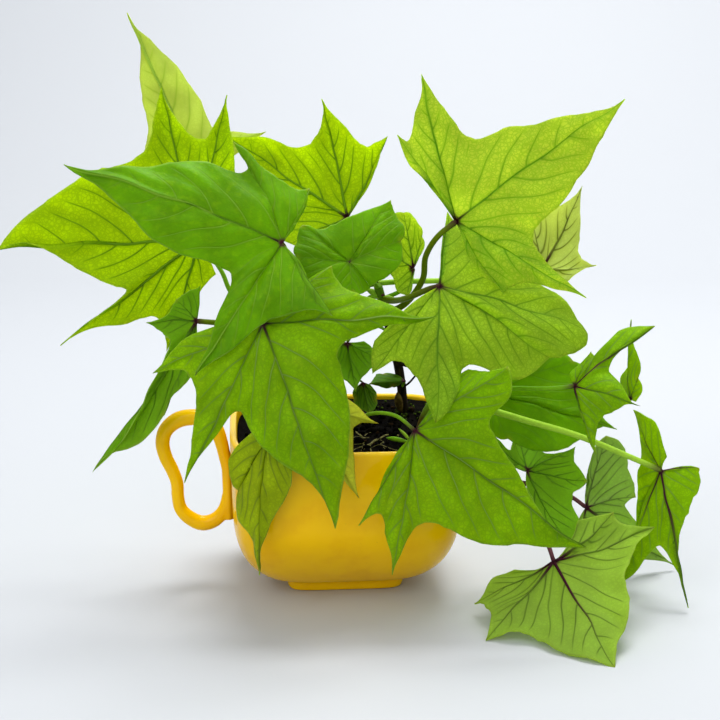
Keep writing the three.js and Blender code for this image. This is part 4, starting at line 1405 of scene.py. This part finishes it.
# %% The leaves' shapes
# The two edges of a lobe: each pair says how far an edge draws in near the tip and swells near the corner
POINTED = (0.05, 0.1, 0.05, 0.1)
BLUNT = (-0.15, 0.15, -0.15, 0.15)
ROUND = (-0.35, 0.15, -0.35, 0.15)
LEAVES = {
    "left_high": {
        "look": "sunlit", "slot": "leaf_bright", "upper": -1, "heart": (-65, 8, 158),
        "lobes": [(-81, 2, 107), (-125, -14, 114), (-153, -8, 156), (-82, 24, 225), (-53, 28, 221)],
        "cuts": [(0.47, 0.19), (0.41, 0.03), (0.13, 0.55), (0.13, 0.51)],
        "rear": [(0.56, -0.27), (0.84, -0.38)],
        "edges": [(0.05, -0.2, 0.05, 0.1), (0.1, 0.05, 0.05, 0), (0.3, 0.25, -0.15, 0.15),
                (-0.05, 0.1, 0.15, -0.1), POINTED],
        "stalk": [(-28, -5, 117), (-50, 2, 134), (-55, 5, 144)],
    },
    "left_front": {
        "look": "deep", "slot": "leaf_deep", "upper": 1, "heart": (-25, -42, 164),
        "lobes": [(-3, -60, 136), (-61, -64, 111), (-113, -52, 198), (-45, -26, 206), (-13, -32, 186)],
        "cuts": [(0.34, 0.41), (0.22, 0.09), (0, 0.61), (0.29, 0.53)],
        "rear": [(0.44, -0.02), (0.5, -0.03)],
        "edges": [(0.15, -0.25, 0.2, -0.15), POINTED, (0, 0.25, 0.05, 0.2), (0.1, 0, -0.05, -0.1),
                POINTED],
        "stalk": [(-33, -9, 148), (-24, -26, 148), (-21, -37, 155)],
    },
    "centre_front": {
        "look": "leafy", "slot": "leaf_bright", "upper": 1, "heart": (-33, -50, 131),
        "lobes": [(-4, -36, 153), (41, -46, 133), (-2, -80, 51), (-65, -70, 67), (-80, -54, 111)],
        "cuts": [(0.62, 0.19), (0.33, 0.11), (0.07, 0.38), (0.22, 0.44)],
        "rear": [(0.74, -0.05), (0.36, -0.12)],
        "edges": [POINTED, (0.1, 0.05, 0, -0.05), (-0.1, 0.15, 0.2, 0.25), (0.1, 0.05, 0, 0),
                (0.05, -0.25, -0.05, 0.25)],
        "stalk": [(-31, -8, 130), (-30, -26, 125), (-32, -42, 124)],
    },
    "right_high": {
        "look": "lightest", "slot": "leaf_bright", "upper": 1, "heart": (50, -12, 169),
        "lobes": [(25, 2, 206), (35, 12, 231), (123, -8, 222), (102, -52, 142), (69, -40, 141)],
        "cuts": [(0.63, 0.17), (0.38, 0.16), (0.13, 0.36), (0.19, 0.65)],
        "rear": [(0.34, 0.03), (0.59, -0.11)],
        "edges": [(0.1, -0.2, 0.05, 0.1), POINTED, (0.05, 0.1, 0, 0.2), (0.05, 0, 0, -0.2), POINTED],
        "stalk": [(19.5, 13, 123), (28, 8, 128), (36, 0, 141), (37, -8, 153), (42, -15, 163)],
    },
    "right_middle": {
        "look": "airy", "blush": 0.55, "slot": "leaf_bright", "upper": 1, "heart": (42, -28, 143),
        "lobes": [(47, 3, 172), (105, -30, 124), (89, -46, 115), (39, -66, 92), (14, -46, 109)],
        "cuts": [(0.5, 0.35), (0.36, 0.72), (0.21, 0.39), (0.15, 0.57)],
        "rear": [(0.37, 0.03), (0.61, -0.19)],
        "edges": [(0.2, 0.2, 0.05, 0.1), (-0.25, 0.1, -0.35, 0.15), (0.05, 0.1, -0.4, 0.3),
                (-0.15, 0.15, -0.05, -0.1), (0.05, 0.1, -0.25, 0.3)],
        "stalk": [(17.5, 9.5, 130), (23, 2, 131), (29, -12, 135), (38, -23, 141)],
    },
    "right_shaded": {
        "look": "deep", "slot": "leaf_deep", "upper": 1, "heart": (65, -8, 90),
        "lobes": [(105, 0, 104), (125, -8, 74), (74, -14, 71)],
        "cuts": [(0.14, 0.76), (0.8, 0.22)],
        "rear": [(0.99, -0.25), (0.58, -0.12)],
        "edges": [ROUND, (0.05, 0.1, 0.1, -0.15), ROUND],
        "stalk": [(48, -17, 92), (54, -11, 94)],
    },
    "right_front": {
        "look": "leafy", "slot": "leaf_deep", "upper": 1, "heart": (31, -55, 86),
        "lobes": [(50, -44, 107), (69, -59, 115), (103, -70, 38), (22, -78, 29), (7, -70, 49)],
        "cuts": [(0.59, 0.43), (0.43, 0.15), (0.09, 0.48), (0.24, 0.47)],
        "rear": [(-0.01, 0.15), (0.36, -0.08)],
        "edges": [POINTED, (0.05, 0.1, -0.45, 0.15), (0.2, 0.05, -0.05, 0.2), (0, -0.05, 0.05, 0.1),
                (0.05, 0.1, 0.15, 0.1)],
        "stalk": [(-2, -20, 58), (2, -26, 78), (12, -36, 88), (23, -46, 90)],
    },
    "on_table": {
        "look": "pale", "rib": 0.72, "slot": "leaf_pale", "upper": -1, "heart": (92, -52, 26),
        "lobes": [(121, -36, 43), (138, -40, 38), (111, -104, 1), (60, -78, 1), (57, -49, 6)],
        "cuts": [(0.66, 0.22), (0.5, 0.29), (0.27, 0.54), (0.51, 0.28)],
        "rear": [(1.13, -0.44), (0.73, -0.3)],
        "edges": [(0, 0.25, 0.05, 0.1), (0.2, -0.1, 0.05, -0.1), (-0.05, 0.15, -0.1, 0.15), POINTED,
                (0.05, 0.1, 0.1, 0.4)],
        "stalk": [(86, -20, 36), (88, -34, 36), (90, -46, 32)],
    },
    "runner_end": {
        "look": "veined", "slot": "leaf_deep", "upper": 1, "heart": (143, -22, 58),
        "lobes": [(160, -24, 60), (153, -46, 2), (128, -20, 4), (134, -8, 25), (132, -4, 82)],
        "cuts": [(0.54, 0.27), (0.28, 0.24), (-0.17, 0.8), (0.08, 0.54)],
        "rear": [(0.51, 0.02), (0.01, -0.21)],
        "edges": [(0.25, -0.15, -0.05, 0.4), (0.15, -0.2, 0.1, 0.05), (-0.15, 0.05, 0.05, 0.1), POINTED,
                (0.05, 0.1, -0.2, 0.45)],
        "stalk": [(57, -22.5, 89), (80, -27, 83), (104, -28, 76), (127, -26, 66)],
    },
    "runner_upper": {
        "look": "veined", "slot": "leaf_deep", "purple": (30, 8), "pleat": 1.6, "upper": 1,
        "heart": (101, -34, 100),
        "lobes": [(109, -26, 113), (136, -26, 125), (128, -46, 95), (109, -48, 73)],
        "cuts": [(0.36, 0.22), (0.25, 0.09), (0.22, 0.38)],
        "rear": [(0.81, -0.24), (0.24, 0.03)],
        "edges": [POINTED, (-0.4, 0.25, 0.15, 0), (0.2, 0.4, 0.3, 0.25), (0.05, 0.1, 0.1, 0)],
        "stalk": [(53, -19, 92), (62, -25, 95), (74, -30, 98), (90, -34, 99)],
    },
    "runner_thin": {
        "look": "leafy", "slot": "leaf_deep", "upper": 1, "heart": (133, 4, 84),
        "lobes": [(130, 8, 88), (132, 6, 121), (135.5, 0, 95)],
        "cuts": [(0, 0.45), (0.45, 0.5)],
        "rear": [(0.68, -0.09), (0.72, -0.23)],
        "edges": [ROUND, POINTED, ROUND],
        "stalk": [(43, -13, 89.5), (55, -2, 93), (75, 9, 92), (100, 12, 88), (122, 9, 84)],
    },
    "trailing_back": {
        "look": "silvery", "slot": "leaf_pale", "upper": -1, "heart": (112, -8, 36),
        "lobes": [(122, 4, 66), (136, -2, 39), (156, 5, 2), (111, -6, 9)],
        "cuts": [(0.43, 0.67), (0.49, 0.13), (0.25, 0.46)],
        "rear": [(0.41, -0.08), (0.5, -0.08)],
        "edges": [ROUND, POINTED, POINTED, ROUND],
        "stalk": [(76, -12, 50), (92, -9, 46), (105, -8, 41)],
    },
    "trailing_inner": {
        "look": "deep", "slot": "leaf_deep", "upper": 1, "heart": (83, -18, 57),
        "lobes": [(62, -24, 80), (82, 4, 71), (106, -10, 66), (111, -14, 51), (102, -34, 28)],
        "cuts": [(0.27, 0.05), (0.08, 0.3), (0.5, 0.32), (0.52, 0.23)],
        "rear": [(0.63, -0.3), (0.44, -0.22)],
        "edges": [POINTED, ROUND, POINTED, BLUNT, ROUND],
        "stalk": [(71, -12, 58.5), (76, -19, 60)],
    },
    "top_centre": {
        "look": "sunlit", "slot": "leaf_bright", "upper": -1, "heart": (2, 22, 166),
        "lobes": [(-23, 14, 156), (-54, 40, 202), (-10, 42, 218), (20, 30, 202)],
        "cuts": [(0.5, 0.48), (0.23, 0.4), (0.23, 0.51)],
        "rear": [(0.69, -0.07), (0.73, -0.06)],
        "edges": [ROUND, (0.05, 0.1, -0.1, 0.05), (0.2, 0, 0, 0.1), (0.05, 0.1, 0.1, -0.1)],
        "stalk": [(-32, -8.5, 136), (-14, 6, 142), (-2, 16, 152)],
    },
    "crown_front": {
        "look": "deep", "mark": 0.2, "purple": (1, 1),
        "slot": "leaf_deep", "upper": 1, "heart": (3, -12, 151),
        "lobes": [(4, -18, 138), (-20, -20, 154), (-18, -12, 167), (22, 2, 177), (26, -6, 160)],
        "cuts": [(0.76, 0.76), (0.5, 0.54), (0.7, 0.06), (0.62, 0.41)],
        "rear": [(0.8, -0.35), (1, -0.75)],
        "edges": [ROUND, ROUND, BLUNT, POINTED, ROUND],
        "stalk": [(16, 6, 136), (14, 0, 140), (8, -5, 145)],
    },
    "crown_back": {
        "look": "airy", "slot": "leaf_bright", "purple": (6, 4), "upper": -1, "heart": (32, 6, 145),
        "lobes": [(28.5, 1, 133.5), (18, 12, 154), (28, 18, 169), (36, 10, 159)],
        "cuts": [(0.6, 0.52), (0.75, 0.51), (0.4, 0.76)],
        "rear": [(0.54, -0.05), (0.4, -0.04)],
        "edges": [ROUND, ROUND, ROUND, ROUND],
        "stalk": [(17.5, 10, 130), (27, 12, 134), (31, 9, 140)],
    },
    "small_hanging": {
        "look": "deep", "slot": "leaf_deep", "upper": 1, "heart": (2, -14, 115),
        "lobes": [(-5, -16, 111), (6, -24, 95), (14, -14, 109)],
        "cuts": [(0.48, 0.66), (0.55, 0.37)],
        "rear": [(0.61, -0.18), (0.69, -0.23)],
        "edges": [ROUND, POINTED, ROUND],
        "stalk": [(22.5, 20, 112), (15, 8, 118), (6, -8, 119)],
    },
    "small_shaded": {
        "look": "shaded", "slot": "leaf_deep", "upper": 1, "heart": (9, -2, 94),
        "lobes": [(5, -4, 87), (12, -8, 80), (15, -2, 86)],
        "cuts": [(0.66, 0.47), (0.54, 0.58)],
        "rear": [(0.71, -0.19), (0.72, -0.29)],
        "edges": [ROUND, POINTED, ROUND],
        "stalk": [(-16, 2.5, 86), (-6, 0, 94), (3, -2, 97)],
    },
    "small_low": {
        "look": "shaded", "slot": "leaf_deep", "upper": 1, "heart": (29, 24, 88),
        "lobes": [(23, 22, 86), (12, 14, 89), (19, 26, 91)],
        "cuts": [(0.49, 0.52), (0.31, 0.84)],
        "rear": [(0.65, -0.09), (0.75, -0.25)],
        "edges": [ROUND, POINTED, ROUND],
        "stalk": [(27.6, 30.6, 83), (28.2, 27.2, 85.5)],
    },
    "yellowing": {
        "look": "yellowed", "slot": "leaf_bright", "upper": 1, "heart": (-18, -50, 95),
        "lobes": [(16, -46, 87), (7, -62, 58), (-12, -57, 75)],
        "cuts": [(0.52, 0.16), (0.61, 0.2)],
        "rear": [(0.66, -0.24), (0.5, -0.14)],
        "edges": [(0.1, 0.2, 0.1, -0.2), POINTED, BLUNT],
        "stalk": [(-8, -18, 58), (-9, -24, 82), (-14, -38, 94)],
    },
    "over_rim": {
        "look": "aged", "slot": "leaf_bright", "upper": 1, "heart": (-31, -57, 83),
        "lobes": [(-20, -61, 76), (-35, -63, 23), (-44, -57, 60)],
        "cuts": [(0, 0.69), (0.55, 0.39)],
        "rear": [(0.7, -0.1), (0.72, -0.29)],
        "edges": [(-0.35, 0.15, -0.1, 0.1), (0.05, 0.1, 0.1, 0.1), (-0.35, 0.15, -0.45, 0.35)],
        "stalk": [(-16, -18, 58), (-19, -26, 78), (-25, -44, 85)],
    },
    "left_folded": {
        "look": "deep", "slot": "leaf_deep", "upper": -1, "heart": (-65, -10, 124),
        "lobes": [(-79, -20, 83), (-111, -26, 58), (-89, -6, 123), (-75, -8, 133)],
        "cuts": [(0.88, 0.09), (0.15, 0.11), (0.54, 0.16)],
        "rear": [(0.94, -0.25), (1.8, -0.82)],
        "edges": [(0.2, 0.15, 0.05, 0.1), (0.15, 0.3, 0.15, 0.05), POINTED, POINTED],
        "stalk": [(-26, -4.5, 110), (-42, -7, 121), (-56, -9, 123)],
    },
    "top_left": {
        "look": "tender", "slot": "leaf_bright", "upper": 1, "heart": (-71, 42, 188),
        "lobes": [(-94, 36, 195), (-102, 60, 258), (-37, 56, 203)],
        "cuts": [(0.5, 0.23), (0.11, 0.37)],
        "rear": [(0.6, -0.06), (0.47, -0.07)],
        "edges": [POINTED, (0.2, 0.15, 0, 0.2), POINTED],
        "stalk": [(-31, -7, 160), (-38, 14, 166), (-55, 36, 176)],
    },
    "back_right": {
        "look": "misty", "slot": "leaf_pale", "pleat": 2.5, "upper": -1, "heart": (91, 14, 143),
        "lobes": [(87, 24, 163), (112, 34, 179), (115, 4, 147)],
        "cuts": [(0.59, 0.35), (0.15, 0.47)],
        "rear": [(0.58, -0.09), (0.6, -0.15)],
        "edges": [ROUND, POINTED, (0.05, 0.1, 0.2, -0.05)],
        "stalk": [(-28, -5, 118), (-8, 8, 130), (10, 13, 136), (45, 14, 138), (75, 14, 138)],
    },
}
print(len(LEAVES), "leaves")

# %% Making the leaves
STALK_RADIUS = 1.15
STALK_SIDES = 12
REDDENING = 0.86
STALK_LOOKS = {
    "right_high": "dark", "left_folded": "dark", "right_middle": "dark", "back_right": "pale",
    "right_front": "olive", "runner_end": "pale", "trailing_back": "purple", "on_table": "purple",
    "yellowing": "pale",
}
STALK_GIRTHS = {
    "right_high": 1.3, "runner_end": 1.3, "right_middle": 1.3, "back_right": 1.2, "right_front": 0.82,
    "left_folded": 1.25, "crown_front": 0.8, "crown_back": 0.9,
    "small_hanging": 0.6, "small_shaded": 0.5, "small_low": 0.6,
}


def stalk_shell(leaf, up, girth):
    """The stalk, from the stem to the heart: it thins, then swells just under the blade, and reddens."""
    line = [*leaf["stalk"], tuple(np.array(leaf["heart"]) + 0.2 * up)]
    path = smooth_line(line, 8)
    share = np.linspace(0, 1, len(path))
    radii = STALK_RADIUS * girth * (1.04 - 0.24 * share + 0.16 * np.exp(-((share - 0.985) / 0.03) ** 2))
    radii[-1] *= 0.75
    points, faces, along = tube(path, radii, STALK_SIDES)
    start = leaf.get("blush", REDDENING)
    return points, faces, np.clip((along - start) / (1 - start), 0, 1)


def add_ribs(piece, leaf, under, share, halves):
    """Adds the ribs to a leaf's piece, purple near the heart."""
    for half, is_main, line, radii in rib_lines(under, share, halves):
        points, faces, _ = tube(line, radii if is_main else leaf.get("rib", 1.0) * radii, VEIN_SIDES)
        purple = purple_at(np.linalg.norm(points - np.array(leaf["heart"]), axis=1), half.purple_reach)
        redness = purple * (1.0 if is_main else SIDE_RIB_RED)
        piece.add(points, faces, RIB_FINISHES[leaf["look"]], redness=redness)


for number, (name, leaf) in enumerate(LEAVES.items()):
    seed = 1.7 * number + 0.4
    look = LOOKS[leaf["look"]]
    grid, up, halves, plans, share = blade_grids(leaf, seed)
    longest = max(half.length for half in halves)
    for half in halves:
        half.purple_reach = leaf.get("purple", look["purple"])[0 if half.length == longest else 1]
    points, faces, rim_count, upper_is_front, under = blade_solid(grid, up)
    places, sizes = vein_values(faces, rim_count, grid.shape[1], halves, plans, share)
    face_side = np.repeat([1.0, 0.0] if upper_is_front else [0.0, 1.0], len(points) // 2)
    piece = Piece(name + "_leaf")
    piece.add(points, faces, leaf_finish(name + " blade", look, seed, leaf.get("mark", 1.0)),
              flat=set(range(len(faces) - rim_count, len(faces))),
              corner_values={"vein_place": places, "vein_size": sizes}, upper_face=face_side,
              purple=purple_values(grid, halves))
    add_ribs(piece, leaf, under, share, halves)
    points, faces, redness = stalk_shell(leaf, up, STALK_GIRTHS.get(name, 1.0))
    piece.add(points, faces, STALK_FINISHES[STALK_LOOKS.get(name, "green")], redness=redness)
    piece.make(leaf["slot"], "leaf_" + name)
